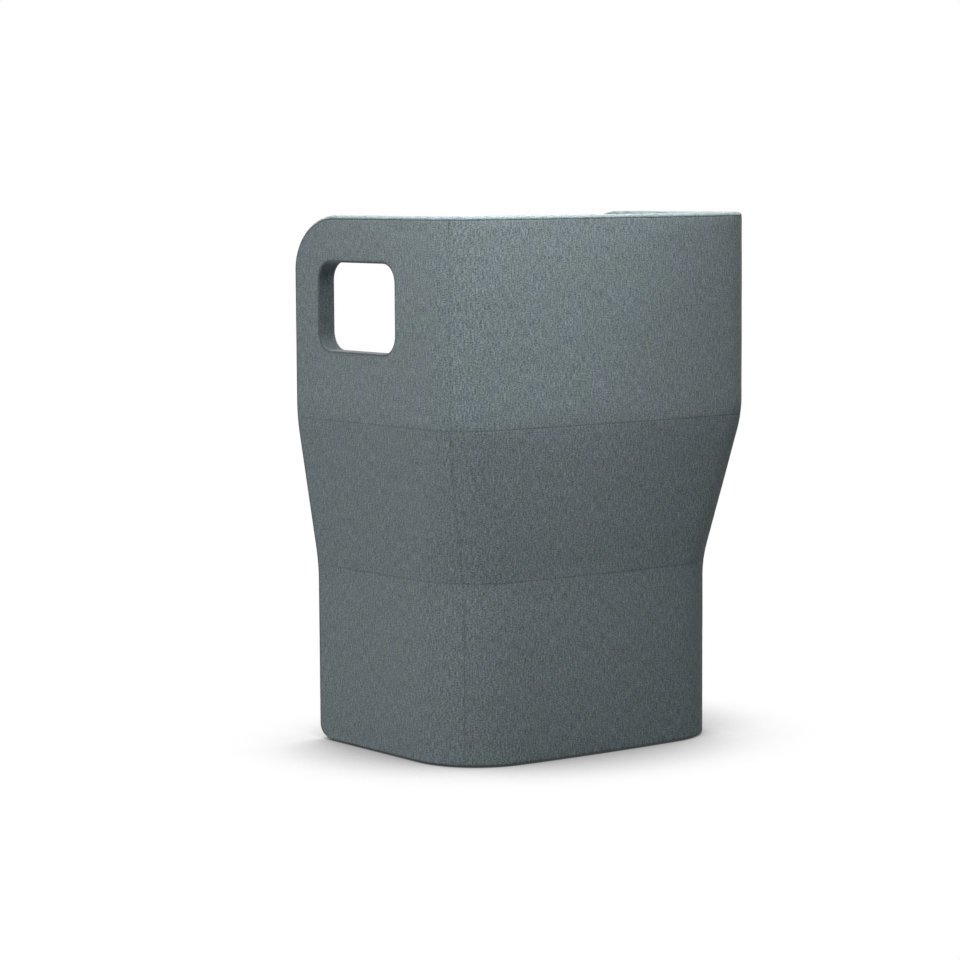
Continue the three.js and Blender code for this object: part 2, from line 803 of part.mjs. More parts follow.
// Blocks and cross rail in the seat box that hold the glides' inserts
function addGlideCarriers() {
  const blockReach = baseHalfWidth - boxInnerDepth - fitGap;
  const front = boxFrontBack + fitGap;
  const top = boxBottomHeight + blockHeight;
  const [frontGlide, , rearRight, rearLeft] = glidePlaces();
  const block = boxBetween(
    new THREE.Vector3(blockReach - blockWidth, front, boxBottomHeight),
    new THREE.Vector3(blockReach, front + blockWidth, top),
  );
  addBothSides('corner_block', cutAway(block, [insertHole(frontGlide[1], frontGlide[2])]), 'timber');
  const across = boxBetween(
    new THREE.Vector3(-baseHalfWidth, rearRailBack - rearRailDepth, boxBottomHeight),
    new THREE.Vector3(baseHalfWidth, rearRailBack, top),
  );
  const inside = interiorPrism(boxInnerDepth + fitGap, boxFront, boxBottomHeight, top);
  const rail = fromSolid(toSolid(across).intersect(toSolid(inside)));
  const holes = [rearRight, rearLeft].map(([, x, y]) => insertHole(x, y));
  addPiece('rear_cross_rail', cutAway(rail, holes), 'timber');
}

function addDustCover() {
  const top = boxBottomHeight - fitGap;
  const sheet = interiorPrism(interiorDepth + dustCoverMargin, boxFront, top - dustCoverThickness, top);
  const holes = glidePlaces().map(([, x, y]) => (
    uprightCylinder(x, y, top - dustCoverThickness - cutOverrun, top + cutOverrun, dustHoleRadius)
  ));
  addPiece('dust_cover', cutAway(sheet, holes), 'nonwoven');
}

// Cover and foam on the front of the seat box
function addFrontPanel() {
  const reach = baseHalfWidth - interiorDepth;
  const foam = boxBetween(
    new THREE.Vector3(-reach, frontFoamFace, underside),
    new THREE.Vector3(reach, frontFoamFace + frontFoamThickness, boxTopHeight),
  );
  addPiece('front_foam', foam, 'foam');
  const cover = boxBetween(
    new THREE.Vector3(-reach, frontFace, hemHeight),
    new THREE.Vector3(reach, frontFace + coverThickness, boxTopHeight),
  );
  addPiece('front_cover', cover, 'fabric');
}

// Webbing: straps from front to back lie flat, and the straps across weave over and under them.
// They press together where they cross, so the net is one piece.
function longStrapPlaces() {
  const middle = (longStrapCount - 1) / 2;
  return Array.from({ length: longStrapCount }, (_, place) => (place - middle) * strapPitch);
}

function longStraps() {
  return longStrapPlaces().map((x) => {
    const outerEdge = Math.abs(x) + strapWidth / 2;
    const rear = interiorReachY(outerEdge, interiorDepth + boxBoardThickness / 2);
    return boxBetween(
      new THREE.Vector3(x - strapWidth / 2, boxFront + fitGap, webHeight - strapThickness / 2),
      new THREE.Vector3(x + strapWidth / 2, rear, webHeight + strapThickness / 2),
    );
  });
}

function crossStrap(y, parity) {
  const reach = interiorReachX(y + strapWidth / 2, interiorDepth + boxBoardThickness / 2);
  const boardEdge = interiorReachX(y + strapWidth / 2, boxInnerDepth + fitGap);
  const line = [[-reach, webHeight], [-boardEdge, webHeight]];
  longStrapPlaces().forEach((x, place) => {
    const lift = (place + parity) % 2 === 0 ? weaveLift : -weaveLift;
    const half = strapWidth / 2 + strapThickness;
    line.push([x - half, webHeight + lift], [x + half, webHeight + lift]);
  });
  line.push([boardEdge, webHeight], [reach, webHeight]);
  const upper = line.map(([x, z]) => new THREE.Vector2(x, z + strapThickness / 2));
  const lower = line.map(([x, z]) => new THREE.Vector2(x, z - strapThickness / 2)).reverse();
  const shape = new THREE.Shape([...upper, ...lower]);
  const geometry = new THREE.ExtrudeGeometry(shape, { depth: strapWidth, bevelEnabled: false });
  geometry.rotateX(Math.PI / 2);
  return geometry.translate(0, y + strapWidth / 2, 0);
}

function addWebbing() {
  const across = Array.from({ length: crossStrapCount }, (_, place) => (
    crossStrap(firstStrapY + place * crossStrapPitch, place)
  ));
  addPiece('seat_webbing', joined([...longStraps(), ...across]), 'webbing');
}

// Rings stacked from the bottom to a crowned top, and closed there by a fan of triangles
function stackTriangles(points, rings, triangles) {
  const start = points.length;
  const count = rings[0].length;
  for (const ring of rings) {
    points.push(...ring);
  }
  for (let level = 0; level + 1 < rings.length; level += 1) {
    for (let corner = 0; corner < count; corner += 1) {
      const after = (corner + 1) % count;
      const here = start + level * count;
      triangles.push([here + corner, here + after, here + count + after]);
      triangles.push([here + corner, here + count + after, here + count + corner]);
    }
  }
  return start;
}

function middleOf(ring) {
  const sum = new THREE.Vector3();
  for (const point of ring) {
    sum.add(point);
  }
  return sum.divideScalar(ring.length);
}

function fanTriangles(points, ring, start, height, triangles, downward) {
  const middle = middleOf(ring);
  middle.z = height;
  points.push(middle);
  const centre = points.length - 1;
  for (let corner = 0; corner < ring.length; corner += 1) {
    const after = (corner + 1) % ring.length;
    const edge = downward ? [start + after, start + corner] : [start + corner, start + after];
    triangles.push([...edge, centre]);
  }
}

function closedStack(rings, crownHeight) {
  const points = [];
  const triangles = [];
  const start = stackTriangles(points, rings, triangles);
  const last = rings.length - 1;
  fanTriangles(points, rings[0], start, rings[0][0].z, triangles, true);
  fanTriangles(points, rings[last], start + last * rings[0].length, crownHeight, triangles, false);
  return closedGeometry(points, triangles);
}

function openShell(outerRings, innerRings, outerCrown, innerCrown) {
  const points = [];
  const outerTriangles = [];
  const outerStart = stackTriangles(points, outerRings, outerTriangles);
  const count = outerRings[0].length;
  const last = outerRings.length - 1;
  fanTriangles(points, outerRings[last], outerStart + last * count, outerCrown, outerTriangles, false);
  const innerTriangles = [];
  const innerStart = stackTriangles(points, innerRings, innerTriangles);
  fanTriangles(points, innerRings[last], innerStart + last * count, innerCrown, innerTriangles, false);
  const rim = [];
  for (let corner = 0; corner < count; corner += 1) {
    const after = (corner + 1) % count;
    rim.push([outerStart + corner, innerStart + after, outerStart + after]);
    rim.push([outerStart + corner, innerStart + corner, innerStart + after]);
  }
  const turned = innerTriangles.map(([a, b, c]) => [a, c, b]);
  return closedGeometry(points, [...outerTriangles, ...turned, ...rim]);
}

// Seat cushion: fits the inside of the wall, swells at its sides and rises to a crown
function seatRing(z, inset) {
  const depth = interiorDepth + cushionClearance + inset;
  const front = frontFace - seatOverhang + inset;
  const ring = interiorRing(z, depth, front + seatPlanRadius);
  const corner = [];
  const middleX = planAt(z).halfWidth - depth - seatPlanRadius;
  for (let step = 1; step <= seatPlanSteps; step += 1) {
    const angle = (Math.PI / 2) * (step / seatPlanSteps);
    const x = middleX + seatPlanRadius * Math.cos(angle);
    corner.push(new THREE.Vector3(x, front + seatPlanRadius - seatPlanRadius * Math.sin(angle), z));
  }
  const middle = new THREE.Vector3(0, front, z);
  const left = corner.map((point) => new THREE.Vector3(-point.x, point.y, point.z));
  return [middle, ...corner.reverse(), ...ring, ...left];
}

function seatRings(offset) {
  const rings = [];
  const arcStart = seatEdgeHeight - seatEdgeRadius;
  for (let step = 0; step <= seatSideSteps; step += 1) {
    const share = step / seatSideSteps;
    const z = THREE.MathUtils.lerp(seatBottom, arcStart, share);
    rings.push(seatRing(z, offset + seatSideBulge * (1 - Math.sin(Math.PI * share))));
  }
  for (let step = 1; step <= seatEdgeSteps; step += 1) {
    const angle = (Math.PI / 2) * (step / seatEdgeSteps);
    const reach = seatEdgeRadius - offset;
    const inset = seatSideBulge + seatEdgeRadius - reach * Math.cos(angle);
    rings.push(seatRing(arcStart + reach * Math.sin(angle), inset));
  }
  const rim = rings[rings.length - 1];
  const middle = middleOf(rim);
  for (const share of seatCrownShares) {
    const height = rim[0].z + seatCrown * (1 - share ** 2);
    rings.push(rim.map((point) => {
      const moved = point.clone().lerp(middle, 1 - share);
      moved.z = height;
      return moved;
    }));
  }
  return rings;
}

function addSeatCushion() {
  const skinTop = seatEdgeHeight + seatCrown;
  const foam = closedStack(seatRings(cushionFoamDepth), skinTop - cushionFoamDepth);
  addPiece('seat_foam', foam, 'foam');
  const cover = openShell(seatRings(0), seatRings(coverThickness), skinTop, skinTop - coverThickness);
  addPiece('seat_cover', cover, 'fabric');
}

// Share along the plan at which a line set in by a depth reaches a given y
function shareAtY(z, depth, y) {
  const plan = planAt(z);
  const start = frontAt(z, 0);
  if (y <= plan.cornerY) return (y - start) / (plan.cornerY - start);
  return wingEndShare + Math.asin((y - plan.cornerY) / (plan.radius - depth)) / plan.turn;
}

// Back cushion: its rear follows the wall, its front crowns forward and rounds off at both ends
function backCushionRing(z, offset, inset) {
  const plan = planAt(z);
  const depth = interiorDepth + cushionClearance + offset;
  const chord = plan.backCentre + backCurveRadius - interiorDepth - backCushionThickness + inset;
  const start = shareAtY(z, depth, chord);
  const columns = withMirror(backFrom(() => start, cushionCornerSteps));
  const rear = columns.map((column) => wallPoint(column(z), z, depth, 0));
  const reach = rear[0].x;
  const front = [];
  for (let step = 1; step < cushionFrontSteps; step += 1) {
    const share = THREE.MathUtils.lerp(-1, 1, step / cushionFrontSteps);
    const bulge = backCushionCrown * (1 - share ** 2);
    front.push(new THREE.Vector3(reach * share, chord - bulge, z));
  }
  return [...front, ...rear];
}

function backCushionRings(offset) {
  const rings = [];
  const reach = backCushionRadius - offset;
  for (let step = 0; step <= cushionEndSteps; step += 1) {
    const angle = (Math.PI / 2) * (step / cushionEndSteps);
    const z = backCushionBottom + backCushionRadius - reach * Math.cos(angle);
    rings.push(backCushionRing(z, offset, backCushionRadius - reach * Math.sin(angle)));
  }
  const low = backCushionBottom + backCushionRadius;
  const high = backCushionTop - backCushionRadius;
  for (const z of plainRows(low, high).slice(1, -1)) {
    rings.push(backCushionRing(z, offset, offset));
  }
  for (let step = 0; step <= cushionEndSteps; step += 1) {
    const angle = (Math.PI / 2) * (step / cushionEndSteps);
    const z = high + reach * Math.sin(angle);
    rings.push(backCushionRing(z, offset, backCushionRadius - reach * Math.cos(angle)));
  }
  return rings;
}

function addBackCushion() {
  const foamTop = backCushionTop - cushionFoamDepth;
  addPiece('back_cushion_foam', closedStack(backCushionRings(cushionFoamDepth), foamTop), 'foam');
  const innerTop = backCushionTop - coverThickness;
  const cover = openShell(backCushionRings(0), backCushionRings(coverThickness), backCushionTop, innerTop);
  addPiece('back_cushion_cover', cover, 'fabric');
}

// Levelling glides: each profile is radius and height, turned about the stud's axis
function turned(profile, x, y) {
  const points = profile.map(([radius, height]) => new THREE.Vector2(radius, height));
  const geometry = new THREE.LatheGeometry(points, roundSteps);
  geometry.rotateX(Math.PI / 2);
  return geometry.translate(x, y, 0);
}

function padProfile() {
  const lip = studRadius + padLipClearance;
  const socket = studHeadRadius + studHeadClearance;
  const ceiling = padHeight - padLipThickness;
  return [
    [0, 0],
    [padRadius - padEdge, 0],
    [padRadius, padEdge],
    [padRadius, padFloorThickness],
    [padShoulderRadius, padHeight],
    [lip, padHeight],
    [lip, ceiling],
    [socket, ceiling],
    [socket, padFloorThickness],
    [0, padFloorThickness],
  ];
}

function studProfile() {
  const foot = padFloorThickness + studHeadClearance;
  const headTop = padHeight - padLipThickness - studHeadClearance;
  const top = foot + studLength;
  return [
    [0, foot],
    [studHeadRadius, foot],
    [studHeadRadius, headTop],
    [studRadius, headTop],
    [studRadius, top - studChamfer],
    [studRadius - studChamfer, top],
    [0, top],
  ];
}

function insertProfile() {
  const bore = studRadius + threadClearance;
  const foot = boxBottomHeight + fitGap;
  const top = foot + insertLength;
  return [
    [bore, foot],
    [bore + insertWall, foot],
    [bore + insertWall, top],
    [bore, top],
    [bore, foot],
  ];
}

function addGlides() {
  for (const [place, x, y] of glidePlaces()) {
    addPiece(`glide_pad_${place}`, turned(padProfile(), x, y), 'plastic');
    addPiece(`glide_stud_${place}`, turned(studProfile(), x, y), 'steel');
    addPiece(`glide_insert_${place}`, turned(insertProfile(), x, y), 'steel');
  }
}

addOuterCover();
addInnerCover();
addEdgeCover();
addWindowLinings();
addHemStrip();
addFoam();
addBoards();
addSeatBox();
addGlideCarriers();
addDustCover();
addFrontPanel();
addWebbing();
addSeatCushion();
addBackCushion();
addGlides();

export default chair;
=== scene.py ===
"""Acoustic high back lounge chair: cloth, padding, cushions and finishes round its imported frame.

Lengths are metres in the frame of the CAD part: X runs across the chair, -Y is its open front and
Z is up from the floor.
"""

import json
import math
from types import SimpleNamespace

import bpy
import numpy as np
from bpy.props import FloatProperty, FloatVectorProperty, IntProperty, PointerProperty
from mathutils import Matrix, Vector
from mathutils.geometry import delaunay_2d_cdt


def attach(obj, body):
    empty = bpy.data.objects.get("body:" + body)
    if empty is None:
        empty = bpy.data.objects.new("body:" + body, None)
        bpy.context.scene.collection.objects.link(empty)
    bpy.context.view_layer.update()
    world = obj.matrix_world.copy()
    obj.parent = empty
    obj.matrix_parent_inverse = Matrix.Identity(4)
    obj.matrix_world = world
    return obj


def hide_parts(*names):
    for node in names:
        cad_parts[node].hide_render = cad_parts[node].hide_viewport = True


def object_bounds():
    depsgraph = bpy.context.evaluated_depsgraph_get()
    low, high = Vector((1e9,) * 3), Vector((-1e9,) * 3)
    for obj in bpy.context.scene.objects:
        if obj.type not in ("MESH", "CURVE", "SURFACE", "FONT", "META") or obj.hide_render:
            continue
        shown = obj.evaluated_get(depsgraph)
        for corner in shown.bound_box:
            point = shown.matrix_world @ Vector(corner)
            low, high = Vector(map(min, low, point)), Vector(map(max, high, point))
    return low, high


bl_info = {
    "name": "Acoustic High Back Lounge Chair",
    "version": (1, 0, 0),
    "blender": (4, 5, 0),
    "location": "View3D > Sidebar > Lounge Chair",
    "description": "Dresses the packed frame of an upholstered high back lounge chair",
    "category": "Object",
}

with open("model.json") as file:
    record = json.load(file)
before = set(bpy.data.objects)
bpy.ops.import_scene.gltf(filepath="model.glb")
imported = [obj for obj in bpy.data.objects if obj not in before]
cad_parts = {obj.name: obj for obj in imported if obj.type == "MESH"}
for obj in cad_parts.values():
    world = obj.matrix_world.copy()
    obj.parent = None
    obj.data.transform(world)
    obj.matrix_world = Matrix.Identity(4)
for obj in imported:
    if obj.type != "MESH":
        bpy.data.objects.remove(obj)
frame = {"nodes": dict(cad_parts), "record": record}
CAD_BOX = [list(corner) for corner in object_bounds()]
CHAIR_BODY = "chair"
BANDS = ("lower", "middle", "upper")
CLOTH_MAP = "Cloth"
# Attribute of painted shade, which darkens the cloth beside seams, round the windows and over the
# window linings
PAINTED_SHADE_FIELD = "painted_shade"
RUB_FIELD = "edge_rub"
MM = 0.001
SIDES = (("right", False), ("left", True))
# Steps along the top edge from the middle of the back to a rear corner
BACK_EDGE_STEPS = 35
# Rows of points beside a seam, in seam widths
SEAM_ROWS = (0.18, 0.4, 0.68, 1.0, 1.7)
# How much of a window seam's shade a flat seam between panels has
FLAT_SEAM_SHARE = 0.26
# A row's point is left out where the outline is nearer than this share of the row's offset
ROW_CLEARANCE = 0.94
# Points measured at once, which keeps the memory in use small
BLOCK = 2000
# Edges that turn by more than this stay sharp
SHARP_ANGLE = math.radians(40)
# Steps along a cut's outline, as a share of the steps inside it
EDGE_STEP_SHARE = 0.55
# Gap between the panels and the strips round their edges
STRIP_GAP = 0.3 * MM
# Gap at each end of the front panel, how far its foam stays inside its cloth, and that foam
FRONT_GAP = 0.3 * MM
FRONT_FOAM_INSET = 1 * MM
FRONT_FOAM = 0.008
# Pressure in the cushions' cloth simulation
STUFFING_PRESSURE = 4
# Depth and shade of a cushion's seams, against those of the wall, and its least gap to the wall
CUSHION_SEAM_DEPTH = 1.3
CUSHION_SEAM_SHADE = 0.6
CUSHION_GAP = 0.2 * MM
# How far above the hem the inner cover starts
INNER_HEM_RISE = 2.3 * MM
# Stage: azimuth, pitch and roll in degrees, the place in metres and the lens in millimetres
CAMERA_ANGLES = (143.14, 5.64, -0.38)
CAMERA_PLACE = (4.8172, 6.2116, 1.4451)
CAMERA_LENS = 115.4
FLOOR_REACH = 30.0
WORLD_DIM = 0.03
WHITE = (1.0, 1.0, 1.0, 1.0)
# Name, place, target, side, watts and spread in degrees
LIGHTS = (
    ("top_softbox", (0.31, 0.46, 2.01), (0.19, 0.28, 0.0), 1.36, 24.6, 180),
    ("low_softbox", (0.39, 1.27, 0.76), (0.2, 0.2, 0.8), 1.2, 4.9, 180),
    ("side_softbox", (2.33, -0.24, 0.60), (0.2, 0.0, 0.8), 1.6, 22.8, 180),
    ("front_softbox", (-2.4, -3.0, 2.4), (0.0, 0.0, 0.6), 2.0, 105, 180),
    # A honeycomb grid keeps this one off the upright faces
    ("overhead_grid", (0.0, 0.0, 3.4), (0.0, 0.0, 0.0), 1.6, 9, 24),
)


def linear(hex_colour):
    """An sRGB hex colour as linear red, green and blue."""
    channels = [int(hex_colour[place : place + 2], 16) / 255 for place in (1, 3, 5)]
    return tuple(
        c / 12.92 if c <= 0.04045 else ((c + 0.055) / 1.055) ** 2.4 for c in channels
    )


def length(name, description, default):
    return FloatProperty(name=name, description=description, default=default, unit="LENGTH")


def colour(name, description, hex_colour):
    return FloatVectorProperty(
        name=name,
        description=description,
        default=linear(hex_colour),
        subtype="COLOR",
        min=0.0,
        max=1.0,
    )


class WallSizes(bpy.types.PropertyGroup):
    """Outer form of the wall, as the CAD part has it"""

    overall_height: length("Overall height", "Floor to the top edge", CAD_BOX[1][2])
    base_width: length("Base width", "Width at the floor", 0.870)
    base_depth: length("Base depth", "Depth at the floor", 0.632)
    side_lean: length("Side lean", "How far each side leans out", 0.045)
    front_lean: length("Front lean", "How far the front edge leans out", 0.023)
    back_lean: length("Back lean", "How far the back leans out", 0.061)
    hem_height: length("Hem height", "Floor to the hem", 0.006)
    lower_bend: length("Lower bend", "Height of the lower level seam", 0.455)
    upper_bend: length("Upper bend", "Height of the upper level seam", 0.835)
    bend_ease: length("Bend ease", "Half the height over which a bend turns", 0.044)
    base_corner: length("Base corner", "Radius of the rear corners at the floor", 0.187)
    top_corner: length("Top corner", "Radius of the rear corners at the top", 0.110)
    back_curve: length("Back curve", "Radius of the back's slight curve", 4.5)
    wing_corner_length: length("Wing corner length", "Length of a wing's rounded corner", 0.180)
    wing_corner_drop: length("Wing corner drop", "Height of a wing's rounded corner", 0.14008)
    foot_corner: length("Foot corner", "Radius of a wing's foot corner", 0.036)
    thickness: length("Wall thickness", "Through both covers", 0.048)
    edge_radius: length("Edge radius", "Rounding of the wall's edge", 0.010)
    window_width: length("Window width", "Front to rear", 0.328)
    window_height: length("Window height", "Bottom to top", 0.22197)
    window_corner: length("Window corner", "Radius of the window's corners", 0.048)
    window_setback: length("Window setback", "From a wing's front edge", 0.1125)
    window_drop: length("Window drop", "From the top edge", 0.11711)
    window_edge: length("Window edge", "Rounding of a window's edges", 0.003)
    foam_thickness: length("Foam thickness", "Foam on each face of the boards", 0.011)
    foam_depth: length("Foam depth", "From the wall's face to its foam", 0.0023)


class CushionSizes(bpy.types.PropertyGroup):
    """Seat and back cushions, and the panel under the seat's front, as the CAD part has them"""

    clearance: length("Clearance", "Between a cushion and the wall", 0.0011)
    front_setback: length("Front setback", "From the wings' foot to the front panel", 0.016)
    panel_top: length("Panel top", "Top of the front panel's cloth, under the seat", 0.3034)
    panel_fold: length("Panel fold", "Radius where the panel's cloth turns back over it", 0.003)
    panel_return: length("Panel return", "How far that cloth runs back under the seat", 0.05)
    seat_bottom: length("Seat bottom", "Underside of the seat cushion", 0.3044)
    seat_edge: length("Seat edge", "Top of the seat cushion at its edge", 0.424)
    seat_crown: length("Seat crown", "Rise of the seat cushion to its middle", 0.021)
    seat_overhang: length("Seat overhang", "How far the seat stands over the front panel", 0.010)
    seat_edge_radius: length("Seat edge radius", "Rounding of the seat's top edge", 0.026)
    seat_side_bulge: length("Seat side bulge", "Swell of the seat's sides", 0.005)
    seat_corner: length("Seat corner", "Rounding of the seat's front corners", 0.018)
    back_bottom: length("Back bottom", "Underside of the back cushion", 0.438)
    back_top: length("Back top", "Top of the back cushion", 0.820)
    back_thickness: length("Back thickness", "Back cushion at its ends", 0.074)
    back_crown: length("Back crown", "Rise of the back cushion to its middle", 0.016)
    back_radius: length("Back radius", "Rounding of the back cushion's front edges", 0.034)
    shrink: length("Shrink", "How much smaller a cushion starts than it ends", 0.004)


class ClothSizes(bpy.types.PropertyGroup):
    """How the cloth lies"""

    seam_depth: length("Seam depth", "How far cloth rolls down into a seam", 0.0007)
    seam_gap: length("Seam gap", "From a seam to the edge of each panel", 0.00004)
    seam_width: length("Seam width", "Width of the roll beside a seam", 0.0034)
    thickness: length("Cloth thickness", "Cloth with its backing", 0.0016)
    swell: length("Swell", "Unevenness of the foam under the cloth", 0.0007)
    mesh_step: length("Mesh step", "Size of the triangles in a cloth face", 0.009)
    foam_step: length("Foam step", "Size of the triangles in the foam", 0.022)
    thread_pitch: length("Thread pitch", "Distance from thread to thread as drawn", 0.0022)
    cushion_voxel: length("Cushion voxel", "Size of a cushion's faces", 0.006)
    cushion_swell: length("Cushion swell", "The most that a cushion's face swells", 0.011)
    blow_frames: IntProperty(
        name="Blow frames", description="Steps of the cushions' cloth simulation", default=20
    )


class ChairColours(bpy.types.PropertyGroup):
    """Colours of the chair's materials"""

    wool_mid: colour("Wool", "Main fibres of the cloth", "#7a868c")
    wool_pale: colour("Pale wool", "Pale fibres in the cloth", "#98a5a8")
    wool_dark: colour("Dark wool", "Dark fibres in the cloth", "#58646a")
    wool_green: colour("Green wool", "Fibres of the greener yarns", "#788683")
    foam: colour("Foam", "Cut upholstery foam", "#d8cfae")
    birch: colour("Birch", "Faces of the plywood", "#cdb084")
    beech: colour("Beech", "Planed rails", "#bd9163")
    webbing: colour("Webbing", "Black rubber webbing", "#2a2b2d")
    nonwoven: colour("Nonwoven", "Dust cover", "#1f2023")
    zinc: colour("Zinc", "Plated steel", "#a9acaf")
    nylon: colour("Nylon", "Moulded glide pads", "#232426")
    floor: colour("Floor", "Plain floor", "#565656")


def wall():
    return bpy.context.scene.chair_wall


def cloth():
    return bpy.context.scene.chair_cloth


def cushions():
    return bpy.context.scene.chair_cushions


def colours():
    return bpy.context.scene.chair_colours


# Shape of the wall


def lean_ramp(rise):
    ease = wall().bend_ease
    rounded = (rise + ease) ** 2 / (4 * ease)
    return np.where(rise <= -ease, 0.0, np.where(rise >= ease, rise, rounded))


def plan_at(z):
    """The wall's plan at some heights."""
    w = wall()
    z = np.asarray(z, float)
    climb = lean_ramp(z - w.lower_bend) - lean_ramp(z - w.upper_bend)
    share = climb / (w.upper_bend - w.lower_bend)
    depth = w.base_depth + w.front_lean + w.back_lean
    half_width = w.base_width / 2 + w.side_lean * share
    back = depth / 2 - w.back_lean * (1 - share)
    radius = w.base_corner + (w.top_corner - w.base_corner) * share
    corner_x = half_width - radius
    centre = back - w.back_curve
    reach = np.sqrt((w.back_curve - radius) ** 2 - corner_x**2)
    turn = np.arctan2(reach, corner_x)
    return SimpleNamespace(
        share=share,
        half_width=half_width,
        front=w.front_lean * (1 - share) - depth / 2,
        radius=radius,
        corner_x=corner_x,
        corner_y=centre + reach,
        centre=centre,
        turn=turn,
        half_back=w.back_curve * (math.pi / 2 - turn),
    )


def front_at(z, inset):
    """Y of a wing's front edge at some heights, set in from the outline."""
    w = wall()
    z = np.asarray(z, float)
    front = plan_at(z).front
    foot_centre = w.hem_height + w.foot_corner
    top_centre = w.overall_height - w.wing_corner_drop
    foot = w.foot_corner - np.sqrt(
        np.clip((w.foot_corner - inset) ** 2 - (foot_centre - z) ** 2, 0, None)
    )
    rise = (z - top_centre) / (w.wing_corner_drop - inset)
    top = w.wing_corner_length - (w.wing_corner_length - inset) * np.sqrt(
        np.clip(1 - rise**2, 0, None)
    )
    return front + np.where(z < foot_centre, foot, np.where(z > top_centre, top, inset))


def wing_point(along, z, depth):
    """Points of the right wing: along the wall from the start of its rear corner, and in from its
    face."""
    plan = plan_at(z)
    angle = np.clip(along, 0, None) / plan.radius
    reach = plan.radius - depth
    x = plan.corner_x + reach * np.cos(angle)
    y = plan.corner_y + reach * np.sin(angle) + np.clip(along, None, 0)
    return np.stack([x, y, z + 0 * x], -1)


def back_point(along, z, depth):
    """Points of the back: along the wall from its middle, and in from its outer face."""
    w, plan = wall(), plan_at(z)
    far = np.abs(along)
    on_curve = far <= plan.half_back
    curve_angle = math.pi / 2 - far / w.back_curve
    corner_angle = plan.turn - (far - plan.half_back) / plan.radius
    angle = np.where(on_curve, curve_angle, corner_angle)
    reach = np.where(on_curve, w.back_curve, plan.radius) - depth
    x = np.where(on_curve, 0, plan.corner_x) + reach * np.cos(angle)
    y = np.where(on_curve, plan.centre, plan.corner_y) + reach * np.sin(angle)
    return np.stack([np.sign(along) * x, y, z + 0 * x], -1)


def wing_seam(z):
    """Length along a wing from the start of its rear corner to its upright seam."""
    plan = plan_at(z)
    turn_share = 0.5 + (0.36 - 0.5) * plan.share
    return plan.radius * plan.turn * turn_share


def back_seam(z):
    plan = plan_at(z)
    return plan.half_back + plan.radius * plan.turn - wing_seam(z)


# Flat cuts of cloth


def run_of(line):
    """Length along a line to each of its points."""
    return np.concatenate([[0], np.cumsum(np.linalg.norm(np.diff(line, axis=0), axis=1))])


def evenly(line, count):
    """A line as evenly spaced points, its ends kept."""
    line = np.asarray(line, float)
    run = run_of(line)
    places = np.linspace(0, run[-1], count)
    return np.stack([np.interp(places, run, line[:, k]) for k in range(line.shape[1])], -1)


def both_sides(half):
    """Points from one end to the middle of the chair, and on through their mirror images."""
    return np.concatenate([half, half[::-1][1:] * [-1, 1, 1]])


def resampled(line, step):
    return evenly(line, max(2, int(round(run_of(np.asarray(line, float))[-1] / step)) + 1))


def loop_of(sides, step):
    """A closed outline from its sides in order."""
    return np.concatenate([resampled(side, step)[:-1] for side in sides])


def signed_area(loop):
    x, y = loop[:, 0], loop[:, 1]
    return 0.5 * np.sum(x * np.roll(y, -1) - np.roll(x, -1) * y)


def is_inside(points, loop):
    """Which points lie inside a loop."""
    start, end = loop, np.roll(loop, -1, axis=0)
    px, py = points[:, :1], points[:, 1:]
    crosses = (start[:, 1] > py) != (end[:, 1] > py)
    rise = np.where(end[:, 1] == start[:, 1], 1e-12, end[:, 1] - start[:, 1])
    x_at = start[:, 0] + (py - start[:, 1]) * (end[:, 0] - start[:, 0]) / rise
    return np.sum(crosses & (px < x_at), axis=1) % 2 == 1


def is_in_cut(points, loops):
    """Which points lie inside the first loop and outside the others."""
    keep = is_inside(points, loops[0])
    for hole in loops[1:]:
        keep &= ~is_inside(points, hole)
    return keep


def distance_to(points, loops):
    """How far each point lies from the nearest outline."""
    nearest = np.full(len(points), np.inf)
    for loop in loops:
        start, span = loop, np.roll(loop, -1, axis=0) - loop
        size = np.maximum(np.sum(span**2, axis=1), 1e-18)
        for first in range(0, len(points), BLOCK):
            block = slice(first, first + BLOCK)
            some = points[block, None, :] - start[None]
            share = np.clip(np.sum(some * span, axis=2) / size, 0, 1)
            gap = np.linalg.norm(some - share[..., None] * span, axis=2).min(axis=1)
            nearest[block] = np.minimum(nearest[block], gap)
    return nearest


